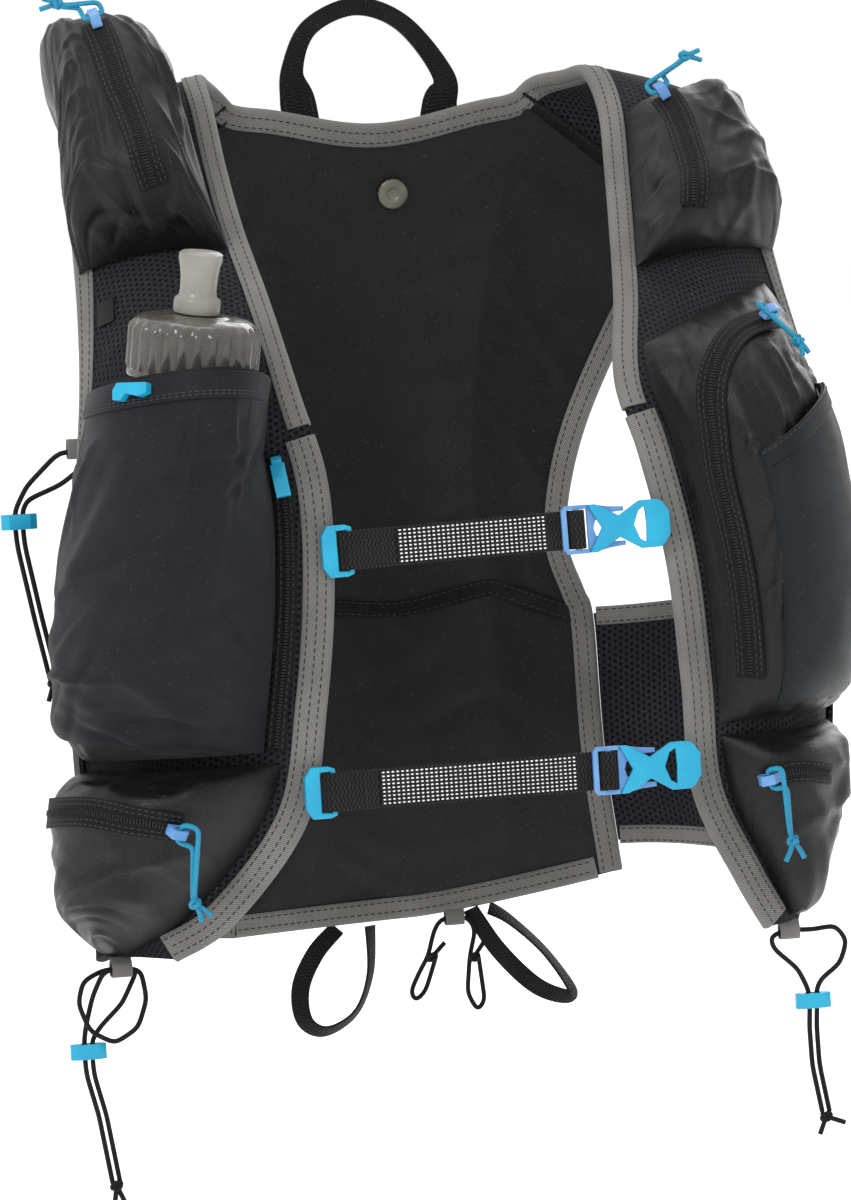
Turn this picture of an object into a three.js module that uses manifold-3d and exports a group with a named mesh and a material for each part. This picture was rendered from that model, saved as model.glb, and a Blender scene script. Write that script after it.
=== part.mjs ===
// A running hydration vest in its worn form, in millimetres.
// The wearer faces -Y and +Z is up. Left and right are as seen from the front, so left is at -X.
// The origin is the middle of the line over the tops of the two shoulder straps.
import * as THREE from "three";
import { mergeVertices } from "three/addons/utils/BufferGeometryUtils.js";
import Module from "manifold-3d";

const wasm = await Module();
wasm.setup();

// The body that the vest wraps.
const HALF_CHEST = 150;
const FRONT_REACH = 145;
const BACK_REACH = 60;
const DROP = 350;
const NECK_DIP = 9;
const NECK_SHARE = 0.496;
const YOKE_GAP = 2.4;

// Cloth, tape and clearances.
const PADDING = 3;
const POCKET_WALL = 1.4;
const SIDE_MESH = 2;
const SIDE_RIM = 4;
const TAPE_WALL = 1.2;
const TAPE_EDGE = 1.8;
const BINDING_REACH = 8;
const RAIL_REACH = 10.5;
const GAP = 0.4;
const TAPE_TOP = PADDING / 2 + GAP + TAPE_WALL;

// Trims.
const ZIP_WIDTH = 12;
const FINE_ZIP_WIDTH = 7;
const ZIP_THICKNESS = 1.6;
const SLIDER_LENGTH = 9;
const SLIDER_WIDTH = 4;
const SLIDER_HEIGHT = 5;
const PULL_CORD = 2;
const PULL_KNOT = 5;
const WEBBING = 15;
const WEBBING_THICKNESS = 1;
const NARROW_WEBBING = 8;
const ELASTIC_CORD = 2;
const CORD_KNOT = 5.6;

// The flask.
const FLASK_DEPTH = 40;
const FLASK_WIDTH = 54;
const CAP_DOWN = 7.96;
const CAP_ACROSS = 0.34;
const BODY_ACROSS = 0.42;
const CAP_RADIUS = 25.3;
const CAP_HEIGHT = 25;
const VALVE_RADIUS = 9;
const VALVE_HEIGHT = 24;

// The buckles and the clips of the sternum straps.
const BUCKLE_REACH = 41;
const MALE_HEIGHT = 18.8;
const FEMALE_HEIGHT = 18.6;
const CLIP_HEIGHT = 20;
const CLIP_THICKNESS = 3.2;
const LOCK_LENGTH = 14;
const LOCK_DEPTH = 6;
const STRAND_PITCH = 3;

const FRONT_COLUMNS = ["innerX", "innerFront", "innerDown", "outerX", "outerFront", "outerDown", "crown"];

// Sections of the left front panel, from the yoke seam over the shoulder and down to the hem tip.
// X and crown are shares of HALF_CHEST, front of FRONT_REACH (behind the ridge, of BACK_REACH), down of DROP.
const LEFT_SECTIONS = table(FRONT_COLUMNS, [
  [0.4, -0.775, 0.026, 0.807, -0.667, 0.177, 0.02],
  [0.44, -0.7, 0.009, 0.847, -0.55, 0.123, 0.02],
  [0.493, -0.367, 0, 0.887, -0.267, 0.08, 0.02],
  [0.533, 0.014, 0, 0.92, 0.028, 0.057, 0.02],
  [0.54, 0.165, 0.04, 0.947, 0.138, 0.077, 0.027],
  [0.54, 0.303, 0.103, 0.963, 0.234, 0.131, 0.033],
  [0.533, 0.483, 0.177, 0.973, 0.345, 0.206, 0.047],
  [0.513, 0.69, 0.257, 0.983, 0.441, 0.269, 0.067],
  [0.487, 0.897, 0.357, 1, 0.524, 0.349, 0.093],
  [0.44, 0.979, 0.457, 1.02, 0.51, 0.451, 0.113],
  [0.44, 1, 0.571, 1.033, 0.469, 0.566, 0.127],
  [0.473, 0.99, 0.7, 1.027, 0.441, 0.694, 0.127],
  [0.533, 0.952, 0.831, 1.02, 0.455, 0.829, 0.1],
  [0.713, 0.848, 0.94, 1.02, 0.538, 0.937, 0.04],
  [0.853, 0.752, 0.982, 1.027, 0.593, 0.982, 0.013],
]);

// The same sections of the right front panel.
const RIGHT_SECTIONS = table(FRONT_COLUMNS, [
  [0.387, -0.775, 0.026, 0.793, -0.667, 0.171, 0.02],
  [0.427, -0.7, 0.011, 0.833, -0.55, 0.12, 0.02],
  [0.473, -0.367, 0.009, 0.873, -0.267, 0.08, 0.02],
  [0.507, 0.014, 0.009, 0.9, 0.028, 0.06, 0.02],
  [0.513, 0.165, 0.057, 0.92, 0.138, 0.083, 0.027],
  [0.487, 0.317, 0.131, 0.927, 0.234, 0.14, 0.033],
  [0.447, 0.51, 0.206, 0.927, 0.345, 0.211, 0.047],
  [0.4, 0.717, 0.277, 0.933, 0.441, 0.277, 0.067],
  [0.345, 0.91, 0.366, 0.96, 0.524, 0.36, 0.093],
  [0.385, 0.979, 0.449, 0.987, 0.524, 0.449, 0.113],
  [0.44, 1, 0.569, 1, 0.483, 0.566, 0.127],
  [0.467, 0.99, 0.7, 0.993, 0.455, 0.694, 0.127],
  [0.493, 0.952, 0.831, 0.967, 0.469, 0.829, 0.1],
  [0.613, 0.876, 0.934, 0.88, 0.607, 0.931, 0.04],
  [0.7, 0.814, 0.993, 0.813, 0.69, 0.99, 0.013],
]);

// Sections of the back panel from neckline to hem: half width as a share of HALF_CHEST,
// depth of its middle and its forward bend at the sides as shares of BACK_REACH.
const BACK_SECTIONS = table(["down", "side", "depth", "bend"], [
  [0, 0.82, 0.83, 0.17],
  [0.07, 0.79, 0.95, 0.2],
  [0.15, 0.7, 1.03, 0.25],
  [0.29, 0.573, 1.08, 0.25],
  [0.4, 0.513, 1.07, 0.17],
  [0.49, 0.49, 1.03, 0.18],
  [0.565, 0.527, 1, 0.2],
  [0.61, 0.547, 0.98, 0.2],
  [0.81, 0.553, 0.95, 0.23],
  [1, 0.593, 1.02, 0.25],
]);

// How far the hem hangs, as shares of DROP.
const HEM = { left: 1.009, middle: 1.003, right: 0.963 };

/** Rows of a table as objects, one value for each named column. */
function table(columns, rows) {
  return rows.map((row) => Object.fromEntries(columns.map((name, index) => [name, row[index]])));
}

/** A value between two others. */
function mix(a, b, share) {
  return a + (b - a) * share;
}

/** Numbers from start to end in equal steps. */
function steps(start, end, count) {
  return Array.from({ length: count + 1 }, (_, index) => mix(start, end, index / count));
}

/** A smooth value through a list of numbers at a fractional index. */
function through(values, index) {
  const last = values.length - 1;
  const start = Math.min(Math.max(Math.floor(index), 0), last - 1);
  const part = index - start;
  const [before, a, b, after] = [-1, 0, 1, 2].map((k) => values[Math.min(Math.max(start + k, 0), last)]);
  const bend = 2 * before - 5 * a + 4 * b - after + part * (3 * (a - b) + after - before);
  return a + 0.5 * part * (b - before + part * bend);
}

/** A smooth point through a list of points at a fractional index. */
function pointThrough(points, index) {
  return new THREE.Vector3(
    through(points.map((p) => p.x), index),
    through(points.map((p) => p.y), index),
    through(points.map((p) => p.z), index),
  );
}

/** A surface placed by two numbers, the first down the vest and the second across it. */
class Surface {
  constructor(place, sign, lean = null) {
    this.place = place;
    this.sign = sign;
    this.lean = lean;
  }

  at(down, across) {
    return this.place(down, across);
  }

  out(down, across) {
    const along = this.at(down + 0.02, across).sub(this.at(down - 0.02, across));
    const over = this.at(down, across + 0.01).sub(this.at(down, across - 0.01));
    return along.cross(over).normalize().multiplyScalar(this.sign);
  }

  off(down, across, height) {
    return this.at(down, across).addScaledVector(this.out(down, across), height);
  }

  // The way that a pouch sewn on here stands out.
  rise(down, across) {
    return this.lean ? this.lean(down, across) : this.out(down, across);
  }
}

/** The middle surface of a front panel. Side is -1 on the left and 1 on the right. */
function frontSurface(sections, side) {
  const point = (x, front, down) =>
    new THREE.Vector3(side * x * HALF_CHEST, -front * (front > 0 ? FRONT_REACH : BACK_REACH), -down * DROP);
  const inner = sections.map((row) => point(row.innerX, row.innerFront, row.innerDown));
  const outer = sections.map((row) => point(row.outerX, row.outerFront, row.outerDown));
  const crown = sections.map((row) => row.crown * HALF_CHEST);
  const flat = new Surface((down, across) => {
    const start = pointThrough(inner, down);
    const end = pointThrough(outer, down);
    const margin = TAPE_EDGE / start.distanceTo(end);
    return start.lerp(end, mix(margin, 1 - margin, across));
  }, side);
  const place = (down, across) => {
    const rise = 4 * through(crown, down) * across * (1 - across);
    return flat.off(down, across, rise);
  };
  const lean = (down, across) =>
    flat.out(down, 0.5).lerp(new Surface(place, side).out(down, across), 0.25).normalize();
  return new Surface(place, side, lean);
}

/** The middle surface of the back panel, down by section number and across from 0 to 1. */
function backSurface() {
  const column = (name, row) => through(BACK_SECTIONS.map((section) => section[name]), row);
  const place = (row, across) => {
    const u = 2 * across - 1;
    const reach = Math.abs(u);
    const neck = 0.5 - 0.5 * Math.cos((Math.PI * Math.min(reach, NECK_SHARE)) / NECK_SHARE);
    const yoke = Math.max(0, (reach - NECK_SHARE) / (1 - NECK_SHARE));
    const top = NECK_DIP * (neck - 1) - (0.026 + 0.153 * yoke) * DROP - YOKE_GAP;
    const hem = -DROP * (u < 0 ? mix(HEM.middle, HEM.left, reach) : mix(HEM.middle, HEM.right, reach ** 1.3));
    return new THREE.Vector3(
      u * (column("side", row) * HALF_CHEST - TAPE_EDGE),
      BACK_REACH * (column("depth", row) - column("bend", row) * reach ** 1.5),
      mix(top, hem, column("down", row)),
    );
  };
  return new Surface(place, -1);
}

/** A closed geometry from points and triangles, turned so that its faces point out. */
function closed(points, triangles) {
  let volume = 0;
  for (const [a, b, c] of triangles) {
    volume += points[a].dot(new THREE.Vector3().crossVectors(points[b], points[c]));
  }
  const index = triangles.flatMap(([a, b, c]) => (volume > 0 ? [a, b, c] : [a, c, b]));
  const geometry = new THREE.BufferGeometry().setFromPoints(points);
  geometry.setIndex(index);
  geometry.computeVertexNormals();
  return geometry;
}

/** One closed body between an outer and an inner grid of points, joined round their edges. */
function skin(outer, inner) {
  const lastRow = outer.length - 1;
  const width = outer[0].length;
  const last = width - 1;
  const over = (i, j) => i * width + j;
  const under = (i, j) => (lastRow + 1) * width + i * width + j;
  const faces = [];
  const quad = (a, b, c, d) => faces.push([a, b, c], [a, c, d]);
  for (let i = 0; i < lastRow; i += 1) {
    for (let j = 0; j < last; j += 1) {
      quad(over(i, j), over(i, j + 1), over(i + 1, j + 1), over(i + 1, j));
      quad(under(i, j), under(i + 1, j), under(i + 1, j + 1), under(i, j + 1));
    }
    quad(over(i, 0), over(i + 1, 0), under(i + 1, 0), under(i, 0));
    quad(over(i + 1, last), over(i, last), under(i, last), under(i + 1, last));
  }
  for (let j = 0; j < last; j += 1) {
    quad(over(0, j + 1), over(0, j), under(0, j), under(0, j + 1));
    quad(over(lastRow, j), over(lastRow, j + 1), under(lastRow, j + 1), under(lastRow, j));
  }
  return closed([...outer.flat(), ...inner.flat()], faces);
}

/** A sheet of even thickness about a surface. */
function sheet(surface, downs, acrosses, thickness) {
  const side = (height) => downs.map((down) => acrosses.map((across) => surface.off(down, across, height)));
  return skin(side(thickness / 2), side(-thickness / 2));
}

/** A closed body through sections that each hold the points of one outline. */
function sweep(sections, outline) {
  const count = outline.length;
  const faces = [];
  for (let s = 0; s < sections.length - 1; s += 1) {
    for (let k = 0; k < count; k += 1) {
      const next = (k + 1) % count;
      const [a, b] = [s * count + k, s * count + next];
      faces.push([a, b, b + count], [a, b + count, a + count]);
    }
  }
  const end = (sections.length - 1) * count;
  for (const [a, b, c] of THREE.ShapeUtils.triangulateShape(outline, [])) {
    faces.push([a, c, b], [end + a, end + b, end + c]);
  }
  return closed(sections.flat(), faces);
}

/** A geometry as a solid that can be joined and cut. */
function toSolid(geometry) {
  const bare = new THREE.BufferGeometry().setAttribute("position", geometry.getAttribute("position"));
  bare.setIndex(geometry.index);
  const { attributes, index } = mergeVertices(bare, 1e-4);
  return new wasm.Manifold(new wasm.Mesh({
    numProp: 3,
    vertProperties: new Float32Array(attributes.position.array),
    triVerts: new Uint32Array(index.array),
  }));
}

/** The geometry of a solid. */
function toGeometry(solid) {
  const { vertProperties, triVerts } = solid.getMesh();
  const geometry = new THREE.BufferGeometry();
  geometry.setAttribute("position", new THREE.BufferAttribute(vertProperties, 3));
  geometry.setIndex(new THREE.BufferAttribute(triVerts, 1));
  geometry.computeVertexNormals();
  return geometry;
}

/** Several geometries joined into one body. */
function joined(geometries) {
  return toGeometry(geometries.map(toSolid).reduce((sum, solid) => sum.add(solid)));
}

/** A geometry with others cut out of it. */
function cut(geometry, tools) {
  return toGeometry(tools.map(toSolid).reduce((rest, tool) => rest.subtract(tool), toSolid(geometry)));
}

/** A flat outline given a thickness, centred on its own plane. */
function plate(corners, thickness, holes = []) {
  const shape = new THREE.Shape(corners.map(([x, y]) => new THREE.Vector2(x, y)));
  shape.holes = holes.map((hole) => new THREE.Path(hole.map(([x, y]) => new THREE.Vector2(x, y))));
  const geometry = new THREE.ExtrudeGeometry(shape, { depth: thickness, bevelEnabled: false, steps: 1 });
  return mergedBare(geometry.translate(0, 0, -thickness / 2));
}

/** A geometry with position alone and its shared corners merged. */
function mergedBare(geometry) {
  const bare = new THREE.BufferGeometry().setAttribute("position", geometry.getAttribute("position"));
  if (geometry.index) {
    bare.setIndex(geometry.index);
  }
  return mergeVertices(bare, 1e-4);
}

/** The four corners of a flat strip's section. */
function strip(width, thickness) {
  const [w, t] = [width / 2, thickness / 2];
  return [new THREE.Vector2(-w, -t), new THREE.Vector2(w, -t), new THREE.Vector2(w, t), new THREE.Vector2(-w, t)];
}

/** The section of a tape folded round a cloth edge that lies at x = 0. */
function foldedTape(reach) {
  const slot = PADDING / 2 + GAP;
  const floor = TAPE_WALL - TAPE_EDGE;
  const corners = [
    [-TAPE_EDGE, -TAPE_TOP], [reach, -TAPE_TOP], [reach, -slot], [floor, -slot],
    [floor, slot], [reach, slot], [reach, TAPE_TOP], [-TAPE_EDGE, TAPE_TOP],
  ];
  return corners.map(([x, y]) => new THREE.Vector2(x, y));
}

/** Frames on a surface along a list of spots, with the side square to the path. */
function framesOn(spots) {
  const places = spots.map(({ surface, down, across, lift = 0 }) => surface.off(down, across, lift));
  return spots.map(({ surface, down, across, facing = across }, index) => {
    const before = places[Math.max(index - 1, 0)];
    const after = places[Math.min(index + 1, places.length - 1)];
    const along = new THREE.Vector3().subVectors(after, before).normalize();
    const out = surface.out(down, facing);
    out.addScaledVector(along, -out.dot(along)).normalize();
    return { at: places[index], along, out, side: new THREE.Vector3().crossVectors(out, along) };
  });
}

/** An outline carried along frames. Turn is -1 where the side must point the other way. */
function carried(frames, outline, turn = 1) {
  const sections = frames.map(({ at, side, out, wide = 1, thick = 1 }) =>
    outline.map((corner) =>
      at.clone().addScaledVector(side, turn * wide * corner.x).addScaledVector(out, thick * corner.y)),
  );
  return sweep(sections, outline);
}

const FRONT = new THREE.Vector3(0, -1, 0);

/** A hollow pouch over a patch of another surface, open toward that surface. */
class Pouch extends Surface {
  constructor(base, patch) {
    super((down, across) => this.lifted(down, across), base.sign);
    this.base = base;
    this.patch = { seat: TAPE_TOP + 1.8 * GAP, open: false, forward: { top: 0, foot: 0 }, turn: 1, ...patch };
    this.patch.full = { over: 3, head: 3, foot: 3, ease: 0.5, ...patch.full };
  }

  spot(down, across) {
    const { top, foot, inner, outer, turn } = this.patch;
    const row = mix(mix(top.inner, top.outer, across), mix(foot.inner, foot.outer, across), down);
    const width = this.base.at(row, 0).distanceTo(this.base.at(row, 1));
    const start = mix(inner.top, inner.foot, Math.min(1, down / turn)) / width;
    const end = 1 - mix(outer.top, outer.foot, down) / width;
    return [row, mix(start, end, across)];
  }

  swell(down, across) {
    const { full, open } = this.patch;
    const over = Math.min(1, Math.abs(2 * across - 1)) ** full.over;
    const reach = open ? Math.min(1, Math.max(0, down)) : Math.min(1, Math.abs(2 * down - 1));
    const length = reach ** (open || down > 0.5 ? full.foot : full.head);
    return (1 - over) ** (across < 0.5 ? full.ease : 0.5) * Math.sqrt(1 - length);
  }

  lifted(down, across) {
    const { seat, bulge } = this.patch;
    const [row, share] = this.spot(down, across);
    const height = mix(bulge.top, bulge.foot, down) * this.swell(down, across);
    return this.base.off(row, share, seat).addScaledVector(this.stand(down, row, share), height);
  }

  // The way that the pouch stands out, turned toward the front by the patch's forward share.
  stand(down, row, share) {
    const { top, foot } = this.patch.forward;
    return this.base.rise(row, share).lerp(FRONT, mix(top, foot, down)).normalize();
  }

  solid(downCount, acrossCount) {
    const { open, bulge, seat } = this.patch;
    const length = this.spotPoint(0, 0.5).distanceTo(this.spotPoint(1, 0.5));
    const width = this.spotPoint(0.5, 0).distanceTo(this.spotPoint(0.5, 1));
    const ease = (share) => 0.5 - 0.5 * Math.cos(Math.PI * share);
    const downs = steps(0, 1, downCount).map((s) => (open ? Math.sin((s * Math.PI) / 2) : ease(s)));
    const acrosses = steps(0, 1, acrossCount).map(ease);
    const wallDown = POCKET_WALL / length;
    const wallOver = POCKET_WALL / width;
    const inside = (down, across) => {
      const innerDown = mix(open ? 0 : wallDown, 1 - wallDown, down);
      const innerOver = mix(wallOver, 1 - wallOver, across);
      const [row, share] = this.spot(innerDown, innerOver);
      const height = (mix(bulge.top, bulge.foot, down) - POCKET_WALL) * this.swell(down, across);
      return this.base.off(row, share, seat).addScaledVector(this.stand(down, row, share), height);
    };
    const outer = downs.map((down) => acrosses.map((across) => this.at(down, across)));
    return skin(outer, downs.map((down) => acrosses.map((across) => inside(down, across))));
  }

  spotPoint(down, across) {
    return this.base.at(...this.spot(down, across));
  }
}

const left = frontSurface(LEFT_SECTIONS, -1);
const right = frontSurface(RIGHT_SECTIONS, 1);
const back = backSurface();

const FRONT_ROWS = steps(0, 14, 20);
const EDGE_COLUMN = 0.13;
const FRONT_ACROSS = [0, EDGE_COLUMN, 0.37, 0.63, 1 - EDGE_COLUMN, 1];
const BACK_ROWS = [0, 1, 2, 3, 4, 5, 6, 7, 8, 8.5, 9];
const BACK_ACROSS = [0, 0.055, 0.16, 0.252, 0.335, 0.415, 0.5, 0.585, 0.665, 0.748, 0.84, 0.945, 1];
const NECK_END = 8.4;
const ARM_END = 9.8;

const BY_RAIL = RAIL_REACH + GAP;
const BY_FINE_ZIP = BY_RAIL + FINE_ZIP_WIDTH + GAP;
const BY_BINDING = BINDING_REACH + GAP;
const ON_CLOTH = PADDING / 2 + GAP;

// Where each pouch lies: the section numbers of its corners, how far its sides stay from the panel's
// edges, how far it stands out at its top and foot, and how full its sides, head and foot are.
const flaskPocket = new Pouch(left, {
  top: { inner: 8, outer: 8.1 },
  foot: { inner: 11.4, outer: 11.5 },
  inner: { top: BY_BINDING, foot: BY_FINE_ZIP },
  turn: 0.22,
  outer: { top: 9, foot: 4 },
  bulge: { top: 58, foot: 46 },
  full: { over: 3.4, foot: 6 },
  forward: { top: 0.65, foot: 0.1 },
  open: true,
});

const leftLowerPocket = new Pouch(left, {
  top: { inner: 11.5, outer: 11.6 },
  foot: { inner: 13.9, outer: 13.9 },
  inner: { top: BY_RAIL + 1, foot: BY_RAIL + 10 },
  outer: { top: 0, foot: -1 },
  bulge: { top: 44, foot: 36 },
  full: { head: 8, foot: 2.4, ease: 0.8 },
  seat: ON_CLOTH,
});

const chestPocket = new Pouch(right, {
  top: { inner: 7.7, outer: 7 },
  foot: { inner: 11.4, outer: 11.4 },
  inner: { top: BY_RAIL, foot: BY_RAIL },
  outer: { top: 14, foot: 12 },
  bulge: { top: 34, foot: 34 },
  forward: { top: 0.75, foot: 0.75 },
  full: { over: 2.6, head: 2.4, foot: 6, ease: 1 },
  seat: ON_CLOTH,
});

const stretchPocket = new Pouch(chestPocket, {
  top: { inner: 0.42, outer: 0.3 },
  foot: { inner: 0.96, outer: 0.96 },
  inner: { top: 22, foot: 18 },
  outer: { top: 12, foot: 12 },
  bulge: { top: 5, foot: 5 },
  seat: GAP,
  open: true,
});

const rightLowerPocket = new Pouch(right, {
  top: { inner: 11.5, outer: 11.55 },
  foot: { inner: 13.8, outer: 13.8 },
  inner: { top: BY_RAIL + 0.6, foot: BY_RAIL + 4 },
  outer: { top: 8, foot: 0 },
  bulge: { top: 28, foot: 22 },
  forward: { top: 0.75, foot: 0.75 },
  full: { head: 8, foot: 2.2, ease: 0.9 },
  seat: ON_CLOTH,
});

const leftShoulderPocket = new Pouch(left, {
  top: { inner: 3.5, outer: 2.5 },
  foot: { inner: 6.4, outer: 6.3 },
  inner: { top: BY_BINDING + 5, foot: BY_BINDING },
  outer: { top: -3, foot: 3 },
  bulge: { top: 48, foot: 40 },
  full: { over: 4, head: 5, foot: 5 },
});

const rightShoulderPocket = new Pouch(right, {
  top: { inner: 4.2, outer: 3.9 },
  foot: { inner: 6.7, outer: 6.4 },
  inner: { top: BY_BINDING, foot: BY_BINDING },
  outer: { top: 6, foot: 3 },
  bulge: { top: 26, foot: 30 },
  full: { over: 4, head: 4, foot: 4, ease: 0.8 },
});

const backPocket = new Pouch(back, {
  top: { inner: 1.7, outer: 1.65 },
  foot: { inner: 8.75, outer: 8.75 },
  inner: { top: BY_BINDING, foot: BY_BINDING },
  outer: { top: BY_BINDING, foot: BY_BINDING },
  bulge: { top: 27, foot: 31 },
});

/** Spots along a route of [down, across] turning points on one surface, smoothly joined. */
function route(surface, turns, count, lift) {
  return steps(0, turns.length - 1, count).map((index) => ({
    surface,
    down: through(turns.map((turn) => turn[0]), index),
    across: through(turns.map((turn) => turn[1]), index),
    lift,
  }));
}

/** A zip laid on a pouch. */
function zip(pouch, turns, count, width) {
  const frames = framesOn(route(pouch, turns, count, GAP + ZIP_THICKNESS / 2));
  return carried(frames, strip(width, ZIP_THICKNESS));
}

const vest = new THREE.Group();

/** Adds a named sub-part. */
function add(name, geometry, material) {
  const mesh = new THREE.Mesh(geometry, material);
  mesh.name = name;
  vest.add(mesh);
  return mesh;
}

/** A matt material. */
function finish(color, roughness, metalness = 0) {
  return new THREE.MeshStandardMaterial({ color, roughness, metalness });
}

const cloth = finish(0x2b2b2f, 0.85);
const liner = finish(0x232323, 0.6);
const openMesh = finish(0x1f2024, 0.95);
const greyTape = finish(0x8a8885, 0.8);

/** A box with a square channel for a cord along x, hung below a point. */
function eyelet(at, length, depth) {
  const [w, h, wall, drop] = [depth / 2, 1.6, 1.2, 0.6];
  const outline = [[-w - wall, -drop - 2 * h - 2 * wall], [w + wall, -drop - 2 * h - 2 * wall]];
  outline.push([w + wall, -drop], [-w - wall, -drop]);
  const foot = -drop - 2 * h - wall;
  const hole = [[-w, foot], [w, foot], [w, foot + 2 * h], [-w, foot + 2 * h]];
  return plate(outline, length, [hole]).rotateX(Math.PI / 2).rotateZ(Math.PI / 2).translate(at.x, at.y, at.z);
}

/** A front panel with a cord eyelet below its tip. */
function tippedPanel(surface, [from, to], depth) {
  const neck = sheet(surface, [13.8, 14.2], [from, to], PADDING - 0.4);
  const at = surface.at(14.1, mix(from, to, 0.5));
  return joined([sheet(surface, FRONT_ROWS, FRONT_ACROSS, PADDING), neck, eyelet(at, 8, depth)]);
}

add("back_panel", sheet(back, BACK_ROWS, BACK_ACROSS, PADDING), liner);
add("front_panel_left", tippedPanel(left, [0.62, 0.98], 3 + STRAND_PITCH), openMesh);
add("front_panel_right", tippedPanel(right, [0.6, 0.98], 3), openMesh);

/** Spots down the inner or outer edge of a front panel between two sections. */
function edge(surface, across, from, to) {
  const rows = FRONT_ROWS.filter((row) => row > from + 0.01 && row < to - 0.01);
  return [from, ...rows, to].map((down) => ({ surface, down, across, facing: mix(across, 0.5, EDGE_COLUMN) }));
}

/** The padded cloth with a margin, which the tapes stay clear of. */
function paddedCloth() {
  const margin = PADDING + 2 * 0.75 * GAP;
  return [
    sheet(back, [-0.1, ...BACK_ROWS.slice(1)], BACK_ACROSS, margin),
    sheet(left, FRONT_ROWS, FRONT_ACROSS, margin),
    sheet(right, FRONT_ROWS, FRONT_ACROSS, margin),
  ];
}

/** The tape round the neck opening, from chest to chest. */
function neckBinding() {
  const neckline = BACK_ACROSS.filter((across) => across > 0.2 && across < 0.8)
    .map((across) => ({ surface: back, down: 0, across }));
  const spots = [
    ...edge(left, 0, 0, NECK_END).reverse(),
    ...neckline,
    ...edge(right, 0, 0, NECK_END),
  ];
  return cut(carried(framesOn(spots), foldedTape(BINDING_REACH)), paddedCloth());
}

/** The tape round an arm opening and down the back panel's side. */
function armTape(surface, backAcross) {
  const spots = [
    ...edge(surface, 1, 0, ARM_END).reverse(),
    ...BACK_ROWS.map((down) => ({ surface: back, down, across: backAcross })),
  ];
  return cut(carried(framesOn(spots), foldedTape(BINDING_REACH), surface.sign), paddedCloth());
}

/** The left arm tape with the eyelet of the side cord on its edge. */
function eyeletArmTape() {
  const at = left.at(8.6, 1).add(new THREE.Vector3(-3.1, 3.8, 1.7));
  return joined([armTape(left, 0), eyelet(at, 5, 3)]);
}

/** The tape along the hem between the two side tapes, with the eyelet of the back cord below it. */
function hemBinding() {
  const spots = BACK_ACROSS.filter((across) => across > 0.05 && across < 0.95)
    .map((across) => ({ surface: back, down: 9, across }));
  const tape = carried(framesOn(spots), foldedTape(BINDING_REACH), -1);
  const at = back.at(9, 0.603).add(new THREE.Vector3(0, 0, -0.7));
  return joined([tape, eyelet(at, 8, 3)]);
}

/** The wide stitched tape down the inner edge of a front panel. */
function rail(surface) {
  const tape = carried(framesOn(edge(surface, 0, NECK_END + 0.12, 14)), foldedTape(RAIL_REACH), surface.sign);
  return cut(tape, paddedCloth());
}

add("neck_binding", neckBinding(), greyTape);
add("arm_binding_left", eyeletArmTape(), greyTape);
add("arm_binding_right", armTape(right, 1), greyTape);
add("hem_binding", hemBinding(), greyTape);
add("rail_left", rail(left), greyTape);
add("rail_right", rail(right), greyTape);

/** The thin mesh between the back panel's side and a front panel, with thick bound edges. */
function sidePanel(surface, backAcross, ends) {
  const side = surface.sign;
  const beyond = TAPE_EDGE + GAP + SIDE_RIM / 2;
  const across = [0, 0.14, 0.32, 0.5, 0.68, 0.84, 1];
  const downs = [0, 0.08, 0.1, 0.5, 0.9, 0.92, 1];
  const place = (down, share) => {
    const a = back.at(mix(ends.backTop, ends.backFoot, down), backAcross);
    const b = surface.at(mix(ends.frontTop, ends.frontFoot, down), 1);
    a.x += side * beyond;
    b.x += side * beyond;
    const c = a.clone().add(new THREE.Vector3(side * 0.26 * HALF_CHEST, -0.13 * BACK_REACH, 0));
    const d = b.clone().add(new THREE.Vector3(side * 0.01 * HALF_CHEST, 0.36 * FRONT_REACH, 0));
    return new THREE.CubicBezierCurve3(a, c, d, b).getPoint(share);
  };
  const mesh = new Surface(place, surface.sign);
  const half = (down) => (down < 0.09 || down > 0.91 ? SIDE_RIM : SIDE_MESH) / 2;
  const face = (turn) => downs.map((down) => across.map((share) => mesh.off(down, share, turn * half(down))));
  return skin(face(1), face(-1));
}

const LEFT_SIDE_ENDS = { backTop: 6.9, backFoot: 8.7, frontTop: 11.1, frontFoot: 13.1 };
const RIGHT_SIDE_ENDS = { backTop: 6.9, backFoot: 8.7, frontTop: 10.4, frontFoot: 13.1 };
add("side_panel_left", sidePanel(left, 0, LEFT_SIDE_ENDS), openMesh);
add("side_panel_right", sidePanel(right, 1, RIGHT_SIDE_ENDS), openMesh);

add("flask_pocket", flaskPocket.solid(10, 12), cloth);
add("lower_pocket_left", leftLowerPocket.solid(8, 10), cloth);
add("chest_pocket", chestPocket.solid(10, 10), cloth);
add("stretch_pocket", stretchPocket.solid(6, 8), cloth);
add("lower_pocket_right", rightLowerPocket.solid(8, 10), cloth);
add("shoulder_pocket_left", leftShoulderPocket.solid(10, 8), cloth);
add("shoulder_pocket_right", rightShoulderPocket.solid(8, 8), cloth);
add("back_pocket", backPocket.solid(9, 9), cloth);

const zipTape = finish(0x1a1a1a, 0.7);
const blue = finish(0x19b5dc, 0.45);
const violet = finish(0x5f8fd0, 0.45);
const blackCord = finish(0x17181a, 0.8);
const webbingCloth = finish(0x2e2c2a, 0.85);

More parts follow.
